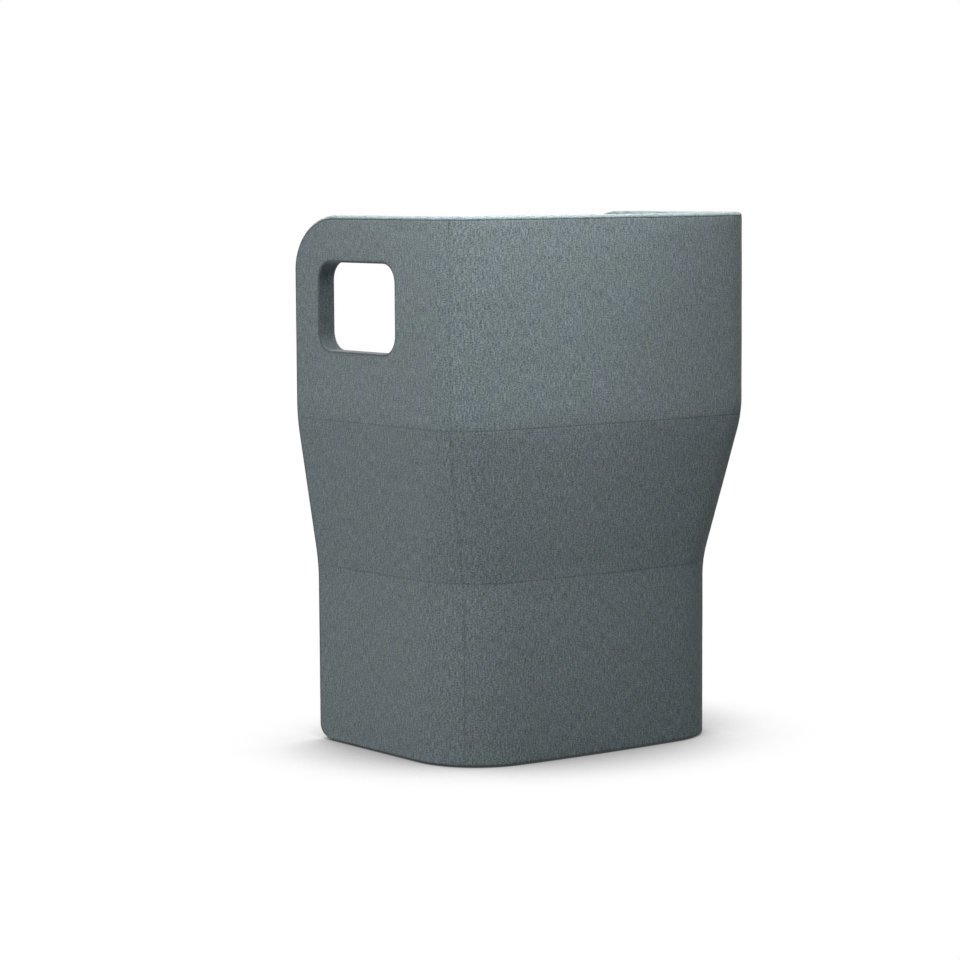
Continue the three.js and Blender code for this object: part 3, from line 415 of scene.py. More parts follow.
def cut(outline, holes=(), rows=SEAM_ROWS, step=None):
    """A flat cut as points, triangles, distances from its seams and distances from its holes, with
    finer rows beside the seams."""
    c = cloth()
    step = step or c.mesh_step
    loops = [outline if signed_area(outline) > 0 else outline[::-1]]
    loops += [hole if signed_area(hole) < 0 else hole[::-1] for hole in holes]
    points = [np.concatenate(loops)]
    for row in rows:
        offset = row * c.seam_width
        for loop in loops:
            tangent = np.roll(loop, -1, axis=0) - np.roll(loop, 1, axis=0)
            normal = np.stack([-tangent[:, 1], tangent[:, 0]], -1)
            moved = loop + offset * normal / np.linalg.norm(normal, axis=1, keepdims=True)
            points.append(moved[distance_to(moved, loops) > ROW_CLEARANCE * offset])
    low, high = outline.min(axis=0), outline.max(axis=0)
    xs = np.arange(low[0], high[0], step)
    ys = np.arange(low[1], high[1], step * math.sqrt(0.75))
    grid = np.stack(np.meshgrid(xs, ys), -1)
    grid[1::2, :, 0] += step / 2
    grid = grid.reshape(-1, 2)
    grid = grid[is_in_cut(grid, loops)]
    margin = (rows[-1] if rows else 0) * c.seam_width + step / 3
    points.append(grid[distance_to(grid, loops) > margin])
    edges, start = [], 0
    for loop in loops:
        places = range(start, start + len(loop))
        edges += list(zip(places, [*places[1:], start]))
        start += len(loop)
    found = delaunay_2d_cdt([Vector(p) for p in np.concatenate(points)], edges, [], 1, 1e-6)
    flat = np.array([list(p) for p in found[0]])
    triangles = np.array([list(face) for face in found[2]])
    triangles = triangles[is_in_cut(flat[triangles].mean(axis=1), loops)]
    return flat, triangles, distance_to(flat, loops), distance_to(flat, loops[1:])


def seam_roll(near):
    """How deep the cloth lies at some distances from a seam."""
    c = cloth()
    return c.seam_depth * np.clip(1 - near / c.seam_width, 0, 1) ** 2


def swell_of(points, near):
    """Slow unevenness of padded cloth that fades out at its seams, with puckers beside them."""
    c = cloth()
    x, y, z = points[:, 0], points[:, 1], points[:, 2]
    slow = (
        np.sin(11 * x + 7 * z + 0.6)
        + np.sin(13 * y - 9 * z + 2.1)
        + 0.6 * np.sin(29 * (x + y) + 5 * z)
        + 0.5 * np.sin(37 * z + 8 * (x - y) + 1.2)
    )
    pucker = np.sin(190 * (x + y) + 15 * z) * np.sin(170 * z + 9 * x)
    beside = np.exp(-(((near - 2.2 * c.seam_width) / (1.6 * c.seam_width)) ** 2))
    inner = np.clip(near / (6 * c.seam_width), 0, 1)
    return c.swell * (0.45 * slow * inner + 0.3 * pucker * beside)


# Meshes


def read(items, field, width=1, kind=np.float32):
    """A field of all items of a mesh, as rows of some width."""
    values = np.zeros(width * len(items), kind)
    items.foreach_get(field, values)
    return values.reshape(-1, width) if width > 1 else values


def set_field(mesh, field, values):
    attribute = mesh.attributes.new(field, "FLOAT", "POINT")
    attribute.data.foreach_set("value", np.asarray(values, np.float32))


def map_cloth(mesh, uvs):
    """Maps each corner of a mesh to its place in the cloth."""
    layer = mesh.uv_layers.new(name=CLOTH_MAP)
    layer.data.foreach_set("uv", np.asarray(uvs, np.float32).ravel())


def shade_smooth(mesh):
    mesh.polygons.foreach_set("use_smooth", [True] * len(mesh.polygons))


def closed_mesh(name, points, faces, uvs=None, fields=None):
    """An object from points and faces, turned to face out. uvs hold one pair for each point."""
    mesh = bpy.data.meshes.new(name)
    mesh.from_pydata(np.asarray(points, float).tolist(), [], faces)
    mesh.calc_loop_triangles()
    triangles = read(mesh.loop_triangles, "vertices", 3, np.int32)
    a, b, c = np.asarray(points)[triangles].transpose(1, 0, 2)
    if np.sum(a * np.cross(b, c)) < 0:
        mesh.flip_normals()
    shade_smooth(mesh)
    mesh.set_sharp_from_angle(angle=SHARP_ANGLE)
    if uvs is not None:
        map_cloth(mesh, uvs[read(mesh.loops, "vertex_index", 1, np.int32)])
    for field, values in (fields or {}).items():
        set_field(mesh, field, values)
    piece = bpy.data.objects.new(name, mesh)
    bpy.context.scene.collection.objects.link(piece)
    return piece


def dress(piece, slot, nodes):
    """Gives a finished piece the material of a slot and its body, and hides the CAD nodes that it
    stands for.
    """
    piece.data.materials.append(finish_for(slot))
    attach(piece, CHAIR_BODY)
    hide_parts(*nodes)


def dress_sheet(piece, nodes, size):
    """Wool cloth stretched over a piece of foam."""
    dress(piece, "wool_fabric", nodes)


def dress_panel(piece, nodes, pattern):
    flat, triangles = pattern[:2]
    dress_sheet(piece, nodes, [float(size) for size in np.ptp(flat, axis=0)])


def near_field(near):
    return np.exp(-near / (0.6 * cloth().seam_width))


def shell(name, pattern, place, base, inward, shift, mirror=False, foam=0.0):
    """A closed piece from a flat cut: cloth, or foam of a given thickness without seams.
    place puts (along, z, depth) in space."""
    flat, triangles, near, near_hole = pattern
    middle = place(flat[:, 0], flat[:, 1], base)
    down = 0 * near if foam else seam_roll(near) - swell_of(middle, near)
    face = place(flat[:, 0], flat[:, 1], base + inward * down)
    back = place(flat[:, 0], flat[:, 1], base + inward * (down + (foam or cloth().thickness)))
    count = len(flat)
    sides = np.concatenate([triangles[:, [0, 1]], triangles[:, [1, 2]], triangles[:, [2, 0]]])
    seen = {(a, b) for a, b in sides.tolist()}
    rim = [[a, b, b + count, a + count][::-1] for a, b in seen if (b, a) not in seen]
    faces = triangles.tolist() + (triangles[:, ::-1] + count).tolist() + sorted(rim)
    points = np.concatenate([face, back])
    if mirror:
        points[:, 0] *= -1
    uvs = np.concatenate([flat, flat]) + np.array(shift)
    # Painted shade beside the seams, fainter at flat seams and full round the window
    shade = np.maximum(FLAT_SEAM_SHARE * near_field(near), near_field(near_hole))
    return closed_mesh(name, points, faces, uvs, {PAINTED_SHADE_FIELD: np.tile(shade, 2)})


def swept(name, stations, run, shift, fields, closed=False, mirror=False):
    """A closed piece from a section carried along: stations is (steps, section, 3)."""
    steps, size = stations.shape[:2]
    faces = []
    for step in range(steps if closed else steps - 1):
        here, after = step * size, (step + 1) % steps * size
        for corner in range(size):
            beside = (corner + 1) % size
            faces.append([here + corner, here + beside, after + beside, after + corner])
    if not closed:
        half = size // 2
        for start, order in ((0, 1), ((steps - 1) * size, -1)):
            for corner in range(half - 1):
                other = size - 1 - corner
                quad = [start + k for k in (corner, other, other - 1, corner + 1)]
                faces.append(quad[::-order])
    points = stations.reshape(-1, 3).copy()
    if mirror:
        points[:, 0] *= -1
    across = np.linalg.norm(np.diff(stations[steps // 2], axis=0), axis=1)
    across = np.concatenate([[0], np.cumsum(across)])
    uvs = np.stack(np.broadcast_arrays(across[None, :], run[:, None]), -1).reshape(-1, 2)
    all_fields = {key: np.tile(value, steps) for key, value in fields.items()}
    return closed_mesh(name, points, faces, uvs + np.array(shift), all_fields)


# Outlines of the cloth cuts


def heights(low, high, extra=()):
    rows = np.concatenate([np.linspace(low, high, 160), np.asarray(extra, float)])
    return np.unique(rows[(rows >= low) & (rows <= high)])


def wing_outline(low, high, inset):
    """Outline of a wing's cut between two heights: foot, front edge, top and seam."""
    w = wall()
    quarter = np.linspace(0, math.pi / 2, 40)
    foot_centre = w.hem_height + w.foot_corner
    foot = foot_centre - (w.foot_corner - inset) * np.cos(quarter)
    top = w.overall_height - w.wing_corner_drop + (w.wing_corner_drop - inset) * np.sin(quarter)
    rows = heights(low, high, [*foot, *top])
    gap = cloth().seam_gap
    edge = np.stack([front_at(rows, inset) - plan_at(rows).corner_y, rows], -1)
    seam = np.stack([wing_seam(rows) - gap, rows], -1)
    sides = [[seam[0], edge[0]], edge, [edge[-1], seam[-1]], seam[::-1]]
    return loop_of(sides, EDGE_STEP_SHARE * cloth().mesh_step)


def back_outline(low, high):
    rows = heights(low, high)
    gap = cloth().seam_gap
    right = np.stack([back_seam(rows) - gap, rows], -1)
    left = right[::-1] * [-1, 1]
    sides = [right, [right[-1], left[0]], left, [left[-1], right[0]]]
    return loop_of(sides, EDGE_STEP_SHARE * cloth().mesh_step)


def window_loop(margin, count_per_corner=14):
    """Outline of the window in Y and Z, set out by a margin."""
    w = wall()
    depth = w.base_depth + w.front_lean + w.back_lean
    middle_y = -depth / 2 + w.window_setback + w.window_width / 2
    middle_z = w.overall_height - w.window_drop - w.window_height / 2
    half_y = w.window_width / 2 - w.window_corner
    half_z = w.window_height / 2 - w.window_corner
    points = []
    for quarter, (side_y, side_z) in enumerate([(1, 1), (-1, 1), (-1, -1), (1, -1)]):
        angle = math.pi / 2 * (quarter + np.linspace(0, 1, count_per_corner))
        y = middle_y + side_y * half_y + (w.window_corner + margin) * np.cos(angle)
        z = middle_z + side_z * half_z + (w.window_corner + margin) * np.sin(angle)
        points += list(zip(y, z))
    return np.array(points)


def window_hole(margin):
    """The window in a wing's flat cut."""
    loop = window_loop(margin)
    closed = np.concatenate([loop, loop[:1]])
    hole = resampled(closed, 0.5 * cloth().mesh_step)[:-1]
    hole[:, 0] -= plan_at(wall().overall_height).corner_y
    return hole


# Sections across the wall's edge


def edge_line(corner, radius, step):
    """A line round an edge of the wall with rounded corners, from face to face, as depth and
    inset."""
    quarter = np.linspace(0, math.pi / 2, 9)
    near, far = corner, wall().thickness - corner
    flat = np.linspace(near, far, 8)[1:-1]
    lift, draw = radius * np.sin(quarter), radius * np.cos(quarter)
    depth = np.concatenate([near - draw, flat, far + lift])
    rise = np.concatenate([lift, 0 * flat + radius, draw])
    return resampled(np.stack([depth, near - rise], -1), step)


def cloth_section(line, corner):
    """The closed section of a strip of cloth along a line, rolled down at both of its edges."""
    c = cloth()
    run = run_of(line)
    near_seam = np.minimum(run, run[-1] - run)
    tangent = np.gradient(line, axis=0)
    normal = np.stack([-tangent[:, 1], tangent[:, 0]], -1)
    normal /= np.linalg.norm(normal, axis=1, keepdims=True)
    down = seam_roll(near_seam)[:, None]
    face = line + down * normal
    back = line + (down + c.thickness) * normal
    section = np.concatenate([face, back[::-1]])
    ridge = 0.3 * corner
    from_ridge = np.minimum(
        np.linalg.norm(line - ridge, axis=1),
        np.linalg.norm(line - [wall().thickness - ridge, ridge], axis=1),
    )
    rub = np.exp(-((from_ridge / (5 * MM)) ** 2))
    # Painted shade beside the strip's seams, and a paler rub of wear on its ridges
    fields = {
        PAINTED_SHADE_FIELD: np.concatenate([near_field(near_seam), near_field(near_seam)[::-1]]),
        RUB_FIELD: np.concatenate([rub, rub[::-1]]),
    }
    return section, fields


def edge_stations(section):
    """The section carried up the right wing's front, round its corner and along the top to the
    middle."""
    w = wall()
    depth, inset = section[:, 0], section[:, 1]
    foot_centre = w.hem_height + w.foot_corner
    top_centre = w.overall_height - w.wing_corner_drop
    stations = []
    low = plan_at(foot_centre)
    for angle in np.linspace(0, math.pi / 2, 9):
        reach = w.foot_corner - inset
        y = low.front + w.foot_corner - reach * math.sin(angle)
        z = foot_centre - reach * math.cos(angle)
        stations.append(np.stack([low.half_width - depth, y, z], -1))
    for z in np.linspace(foot_centre, top_centre, 125)[1:-1]:
        plan = plan_at(z)
        place = [plan.half_width - depth, plan.front + inset, z + 0 * inset]
        stations.append(np.stack(place, -1))
    high = plan_at(w.overall_height)
    for angle in np.linspace(0, math.pi / 2, 30):
        y = high.front + w.wing_corner_length - (w.wing_corner_length - inset) * math.cos(angle)
        z = top_centre + (w.wing_corner_drop - inset) * math.sin(angle)
        stations.append(np.stack([high.half_width - depth, y, z], -1))
    z = w.overall_height - inset
    start = high.front + w.wing_corner_length - high.corner_y
    for along in np.linspace(start, 0, 40)[1:]:
        stations.append(wing_point(np.full_like(inset, along), z, depth))
    corner_length = float(high.radius * high.turn)
    for along in np.linspace(0, corner_length, 24)[1:]:
        stations.append(wing_point(np.full_like(inset, along), z, depth))
    for along in np.linspace(float(high.half_back), 0, BACK_EDGE_STEPS + 1)[1:]:
        stations.append(back_point(np.full_like(inset, along + 1e-9), z, depth))
    return np.array(stations)


# Materials


def new_material(name):
    material = bpy.data.materials.new(name)
    material.use_nodes = True
    material.node_tree.nodes.clear()
    return material, material.node_tree


def add(tree, kind, inputs=None, out=0, **settings):
    """Adds a node with its settings, fills or links its inputs, and gives one of its outputs."""
    node = tree.nodes.new(f"ShaderNode{kind}")
    for key, value in settings.items():
        setattr(node, key, value)
    for key, value in (inputs or {}).items():
        if isinstance(value, bpy.types.NodeSocket):
            tree.links.new(value, node.inputs[key])
        else:
            node.inputs[key].default_value = value
    return node.outputs[out] if node.outputs else None


def rgba(values):
    return (*values[:3], 1.0)


def end_finish(tree, surface, relief, strength, depth):
    """Ends a finish with its surface and a relief of a given depth."""
    bump = add(tree, "Bump", {"Strength": strength, "Distance": depth, "Height": relief})
    shader = add(tree, "BsdfPrincipled", {**surface, "Normal": bump})
    add(tree, "OutputMaterial", {"Surface": shader})


def wool_material():
    """Woven wool: carded, spun from mixed fibres, plain weave, milled. A matt face, soft flecks of
    pale and dark fibre, warp threads that show as faint upright streaks, and a slight bloom at
    grazing angles."""
    c = colours()
    # Real threads are 1.2 mm apart; they are drawn coarser, because a pixel is 2.5 mm wide
    pitch = cloth().thread_pitch
    material, tree = new_material("wool_plain_weave")
    cut_place = add(tree, "UVMap", uv_map=CLOTH_MAP)

    def stretched(across_mm, along_mm, detail, rough=0.55):
        scale = (1 / (across_mm * MM), 1 / (along_mm * MM), 1)
        place = add(tree, "VectorMath", {0: cut_place, 1: scale}, operation="MULTIPLY")
        inputs = {"Vector": place, "Scale": 1.0, "Detail": detail, "Roughness": rough}
        return add(tree, "TexNoise", inputs, noise_dimensions="2D")

    scale = (1 / pitch, 1 / pitch, 1)
    threads = add(tree, "VectorMath", {0: cut_place, 1: scale}, operation="MULTIPLY")
    rows, rounds = [], []
    for place in add(tree, "SeparateXYZ", {0: threads}).node.outputs[:2]:
        rows.append(add(tree, "Math", {0: place}, operation="FLOOR"))
        turn = add(tree, "Math", {0: place, 1: math.pi}, operation="MULTIPLY")
        wave = add(tree, "Math", {0: turn}, operation="SINE")
        rounds.append(add(tree, "Math", {0: wave}, operation="ABSOLUTE"))
    crossing = add(tree, "Math", {0: rows[0], 1: rows[1]}, operation="ADD")
    crossing = add(tree, "Math", {0: crossing}, operation="ABSOLUTE")
    warp_over = add(tree, "Math", {0: crossing, 1: 2.0}, operation="MODULO")
    threads_height = add(tree, "Mix", {0: warp_over, 2: rounds[1], 3: rounds[0]})

    # Flecks of single fibres are too fine to show, so they are drawn 2 to 5 mm wide
    flecks = {0: 0.52, 2: stretched(2.4, 22.0, 3.0, 0.75), 3: stretched(5.0, 2.8, 2.0, 0.6)}
    fleck = add(tree, "Mix", flecks)
    yarns = stretched(60.0, 80.0, 3.0)
    base = rgba(c.wool_mid)
    for noise, low, high, fibre in (
        (yarns, 0.35, 0.65, c.wool_green),
        (fleck, 0.5, 0.39, c.wool_dark),
        (fleck, 0.5, 0.61, c.wool_pale),
    ):
        share = add(tree, "MapRange", {0: noise, 1: low, 2: high})
        base = add(tree, "Mix", {0: share, 6: base, 7: rgba(fibre)}, out=2, data_type="RGBA")
    tone = 0.875
    for noise, part in ((stretched(30.0, 45.0, 3.0), 0.05), (stretched(2.6, 42.0, 2.0), 0.20)):
        level = add(tree, "MapRange", {0: noise, 1: 0.3, 2: 0.7})
        tone = add(tree, "Math", {0: level, 1: part, 2: tone}, operation="MULTIPLY_ADD")
    base = add(tree, "HueSaturation", {"Value": tone, "Color": base})
    # A paler rub of wear on the ridges, and painted shade that darkens the cloth towards #2c3236 in
    # seams and window linings
    edge_rub_and_shade_paint = ((RUB_FIELD, 0.10, c.wool_pale), (PAINTED_SHADE_FIELD, 0.75, linear("#2c3236")))
    for field, part, shade in edge_rub_and_shade_paint:
        near = add(tree, "Attribute", out=2, attribute_name=field, attribute_type="GEOMETRY")
        share = add(tree, "Math", {0: near, 1: part}, operation="MULTIPLY")
        base = add(tree, "Mix", {0: share, 6: base, 7: rgba(shade)}, out=2, data_type="RGBA")

    fuzz = add(tree, "Math", {0: stretched(0.9, 0.9, 3.0), 1: 0.6}, operation="MULTIPLY")
    relief = add(tree, "Math", {0: threads_height, 1: 0.7, 2: fuzz}, operation="MULTIPLY_ADD")
    surface = {
        "Base Color": base,
        "Roughness": 0.92,
        "Specular IOR Level": 0.25,
        "Sheen Weight": 0.18,
        "Sheen Roughness": 0.45,
    }
    end_finish(tree, surface, relief, 0.55, 0.45 * MM)
    return material


def foam_material():
    """Polyurethane foam: blown, cut with a hot wire. Matt, with open cells of about 1 mm."""
    material, tree = new_material("polyurethane_foam_cut")
    place = add(tree, "TexCoord", out="Object")
    cells = add(tree, "TexVoronoi", {"Vector": place, "Scale": 700.0})
    stain = add(tree, "TexNoise", {"Vector": place, "Scale": 9.0, "Detail": 3.0})
    tones = {0: stain, 6: rgba(colours().foam), 7: rgba(linear("#c6b88f"))}
    base = add(tree, "Mix", tones, out=2, data_type="RGBA")
    end_finish(tree, {"Base Color": base, "Roughness": 0.95}, cells, 0.6, 0.8 * MM)
    return material


def plywood_material():
    """Birch plywood: peeled veneers of 1.4 mm, pressed and sanded. Pale faces with long grain."""
    material, tree = new_material("birch_plywood_sanded")
    place = add(tree, "TexCoord", out="Object")
    place = add(tree, "Mapping", {"Vector": place, "Scale": (3.0, 3.0, 60.0)})
    inputs = {"Vector": place, "Scale": 2.2, "Detail": 6.0, "Distortion": 0.4}
    grain = add(tree, "TexNoise", inputs)
    tones = {0: grain, 6: rgba(colours().birch), 7: rgba(linear("#a9855a"))}
    base = add(tree, "Mix", tones, out=2, data_type="RGBA")
    end_finish(tree, {"Base Color": base, "Roughness": 0.6}, grain, 0.25, 0.2 * MM)
    return material


def beech_material():
    """Beech: sawn and planed. Even, warm, with short dark flecks about 2 mm long."""
    material, tree = new_material("beech_planed")
    place = add(tree, "TexCoord", out="Object")
    place = add(tree, "Mapping", {"Vector": place, "Scale": (120.0, 500.0, 500.0)})
    flecks = add(tree, "TexNoise", {"Vector": place, "Scale": 1.0, "Detail": 2.0})
    share = add(tree, "MapRange", {0: flecks, 1: 0.55, 2: 0.75, 4: 0.8})
    tones = {0: share, 6: rgba(colours().beech), 7: rgba(linear("#86593a"))}
    base = add(tree, "Mix", tones, out=2, data_type="RGBA")
    end_finish(tree, {"Base Color": base, "Roughness": 0.5}, flecks, 0.2, 0.15 * MM)
    return material


def webbing_material():
    """Rubber webbing: woven over rubber cords 2.5 mm apart. Ribbed along its length, matt black."""
    material, tree = new_material("rubber_webbing_woven")
    place = add(tree, "TexCoord", out="Object")
    inputs = {"Vector": place, "Scale": 125.0, "Distortion": 0.6, "Detail": 2.0}
    ribs = add(tree, "TexWave", inputs, bands_direction="X")
    tones = {0: ribs, 6: rgba(linear("#141517")), 7: rgba(colours().webbing)}
    base = add(tree, "Mix", tones, out=2, data_type="RGBA")
    end_finish(tree, {"Base Color": base, "Roughness": 0.85}, ribs, 0.6, 0.5 * MM)
    return material


def nonwoven_material():
    """Polypropylene dust cloth: spunbonded. Black, matt, with a dimpled bond pattern of 2 mm."""
    material, tree = new_material("polypropylene_spunbonded")
    place = add(tree, "TexCoord", out="Object")
    bonds = add(tree, "TexVoronoi", {"Vector": place, "Scale": 480.0, "Randomness": 0.35})
    fibres = add(tree, "TexNoise", {"Vector": place, "Scale": 260.0, "Detail": 4.0})
    tones = {0: fibres, 6: rgba(linear("#101113")), 7: rgba(colours().nonwoven)}
    base = add(tree, "Mix", tones, out=2, data_type="RGBA")
    end_finish(tree, {"Base Color": base, "Roughness": 0.9}, bonds, 0.5, 0.3 * MM)
    return material


def zinc_material():
    """Zinc plated steel: turned, plated and passivated. Bright, a little blue, with fine turning
    marks."""
    material, tree = new_material("steel_zinc_plated")
    place = add(tree, "TexCoord", out="Object")
    inputs = {"Vector": place, "Scale": 250.0, "Distortion": 0.5}
    marks = add(tree, "TexWave", inputs, bands_direction="Z")
    cloud = add(tree, "TexNoise", {"Vector": place, "Scale": 120.0, "Detail": 3.0})
    rough = add(tree, "MapRange", {0: cloud, 1: 0.3, 2: 0.7, 3: 0.26, 4: 0.42})
    surface = {"Base Color": rgba(colours().zinc), "Metallic": 1.0, "Roughness": rough}
    end_finish(tree, surface, marks, 0.3, 0.2 * MM)
    return material


def nylon_material():
    """Nylon: injection moulded in a lightly sparked tool. Satin black with a fine even grain."""
    material, tree = new_material("nylon_moulded")
    place = add(tree, "TexCoord", out="Object")
    grain = add(tree, "TexNoise", {"Vector": place, "Scale": 1500.0, "Detail": 2.0})
    wear = add(tree, "TexNoise", {"Vector": place, "Scale": 60.0, "Detail": 4.0})
    tones = {0: wear, 6: rgba(colours().nylon), 7: rgba(linear("#333437"))}
    base = add(tree, "Mix", tones, out=2, data_type="RGBA")
    end_finish(tree, {"Base Color": base, "Roughness": 0.45}, grain, 0.15, 0.1 * MM)
    return material


MATERIAL_MAKERS = {
    "wool_fabric": wool_material,
    "upholstery_foam": foam_material,
    "birch_plywood": plywood_material,
    "beech_timber": beech_material,
    "elastic_webbing": webbing_material,
    "black_nonwoven": nonwoven_material,
    "zinc_steel": zinc_material,
    "black_plastic": nylon_material,
}
made_materials = {}


def finish_for(slot):
    """The material of a record's slot, made once."""
    if slot not in made_materials:
        made_materials[slot] = MATERIAL_MAKERS[slot]()
    return made_materials[slot]


def band_limits(first):
    """The three bands of cover with their lowest and highest points, from a first height."""
    w, gap = wall(), cloth().seam_gap
    top = w.overall_height - w.edge_radius - STRIP_GAP
    low = [first, w.lower_bend + gap, w.upper_bend + gap]
    high = [w.lower_bend - gap, w.upper_bend - gap, top]
    return zip(BANDS, low, high)


def sew_cover(cover, nodes, first, layout, bolt):
    """A cover's panels, on each side and on the back, in three bands. nodes are the CAD's names for
    a side and for the back, layout is the depth of the face and which way is in, and bolt is where
    in the cloth the sides and the back are cut."""
    w = wall()
    side_u, side_v, side_rise, back_u, back_v = bolt
    for number, (band, low, high) in enumerate(band_limits(first)):
        holes = [window_hole(w.window_edge + STRIP_GAP)] if band == "upper" else []
        pattern = cut(wing_outline(low, high, w.edge_radius + STRIP_GAP), holes)
        for side, mirror in SIDES:
            shift = (side_u + 0.7 * number + 2.3 * mirror, side_v + side_rise * number)
            name = f"{cover}_panel_{band}_{side}"
            piece = shell(name, pattern, wing_point, *layout, shift, mirror)
            node = nodes[0].format(band=band, side=side)
            dress_panel(piece, [node], pattern)
        pattern = cut(back_outline(low, high))
        shift = (back_u + number, back_v)
        piece = shell(f"{cover}_panel_{band}_back", pattern, back_point, *layout, shift)
        dress_panel(piece, [nodes[1].format(band=band)], pattern)


class CHAIR_OT_outer_cover(bpy.types.Operator):
    """Outer cover: a panel on each side and on the back, in three bands"""

    bl_idname = "chair.outer_cover"
    bl_label = "Outer cover"

    def execute(self, context):
        nodes = ("outer_side_panel_{band}_{side}", "outer_back_panel_{band}")
        bolt = (0.0, 0.0, 0.4, 5.1, 0.9)
        sew_cover("outer", nodes, wall().hem_height, (0.0, 1), bolt)
        return {"FINISHED"}


class CHAIR_OT_inner_cover(bpy.types.Operator):
    """Inner cover: the inside of both wings and of the back, in the same three bands"""

    bl_idname = "chair.inner_cover"
    bl_label = "Inner cover"

    def execute(self, context):
        w = wall()
        nodes = ("inner_cover_{side}", "inner_cover_back")
        bolt = (7.7, 0.2, 0.0, 12.4, 0.3)
        first = w.hem_height + INNER_HEM_RISE
        sew_cover("inner", nodes, first, (w.thickness, -1), bolt)
        return {"FINISHED"}


class CHAIR_OT_edge_strip(bpy.types.Operator):
    """Strip of cloth sewn round the wall's front and top edge"""

    bl_idname = "chair.edge_strip"
    bl_label = "Edge strip"

    def execute(self, context):
        corner = wall().edge_radius
        line = edge_line(corner, corner, 1.2 * MM)
        section, fields = cloth_section(line, corner)
        half = edge_stations(section)
        stations = both_sides(half)
        run = run_of(stations[:, len(section) // 4])
        piece = swept("edge_strip", stations, run, (11.3, 0.0), fields)
        size = [float(run_of(line)[-1]), float(run[-1])]
        dress_sheet(piece, ["edge_cover"], size)
        return {"FINISHED"}


class CHAIR_OT_hem_strip(bpy.types.Operator):
    """Strip of cloth turned under the foot of the wall"""

    bl_idname = "chair.hem_strip"
    bl_label = "Hem strip"

    def execute(self, context):
        w = wall()
        plan = plan_at(w.hem_height)
        depth = np.linspace(w.foam_depth, w.thickness - w.foam_depth, 16)
        near = np.minimum(depth - depth[0], depth[-1] - depth)
        rise = np.concatenate([seam_roll(near), (seam_roll(near) + cloth().thickness)[::-1]])
        across = np.concatenate([depth, depth[::-1]])
        front = float(plan.front + w.foot_corner - plan.corner_y)
        turn_length = float(plan.radius * plan.turn)
        places = [(wing_point, along) for along in np.linspace(front, 0, 60)]
        places += [(wing_point, along) for along in np.linspace(0, turn_length, 40)[1:]]
        back = np.linspace(float(plan.half_back), 1e-9, 40)[1:]
        places += [(back_point, along) for along in back]
        half = [place(0 * across + along, w.hem_height, across) for place, along in places]
        half = np.array(half)
        half[:, :, 2] += rise
        stations = both_sides(half)
        run = run_of(stations[:, 0])
        # Painted shade beside the hem strip's seams
        fields = {PAINTED_SHADE_FIELD: np.concatenate([near_field(near), near_field(near)[::-1]])}
        piece = swept("hem_strip_cloth", stations, run, (15.0, 0.2), fields)
        size = [float(np.ptp(depth)), float(run[-1])]
        dress_sheet(piece, ["hem_strip"], size)
        return {"FINISHED"}


class CHAIR_OT_wall_padding(bpy.types.Operator):
    """Foam on both faces of the boards and round their edge"""

    bl_idname = "chair.wall_padding"
    bl_label = "Wall padding"

    def execute(self, context):
        w, c = wall(), cloth()
        # The foam on the faces ends here, and the bead round the edge fills the rest
        inset = w.foam_depth + w.foam_thickness - 1.5 * MM
        low, high = w.hem_height + w.foam_depth + 2 * MM, w.overall_height - inset
        side = cut(wing_outline(low, high, inset), [window_hole(inset)], (), c.foam_step)
        back = cut(back_outline(low, high), (), (), c.foam_step)
        faces = (("outside", w.foam_depth, 1), ("inside", w.thickness - w.foam_depth, -1))
        for face, base, inward in faces:
            for side_name, mirror in SIDES:
                name = f"side_padding_{face}_{side_name}"
                layout = (base, inward, (0, 0), mirror, w.foam_thickness)
                self.pad(shell(name, side, wing_point, *layout), f"side_foam_{side_name}")
            name = f"back_padding_{face}"
            layout = (base, inward, (0, 0), False, w.foam_thickness)
            self.pad(shell(name, back, back_point, *layout), "back_foam")
        line = edge_line(w.edge_radius, w.edge_radius - w.foam_depth, 1.6 * MM)
        section = np.concatenate([line, [[line[-1, 0], inset], [line[0, 0], inset]]])
        half = edge_stations(section)
        wing_end = len(half) - BACK_EDGE_STEPS
        whole = both_sides(half[wing_end:])
        self.pad(swept("back_padding_bead", whole, run_of(whole[:, 0]), (0, 0), {}), "back_foam")
        wing = half[: wing_end + 1]
        for side_name, mirror in SIDES:
            run = run_of(wing[:, 0])
            bead = swept(f"side_padding_bead_{side_name}", wing, run, (0, 0), {}, False, mirror)
            self.pad(bead, f"side_foam_{side_name}")
        return {"FINISHED"}

    def pad(self, piece, node):
        dress(piece, "upholstery_foam", [node])


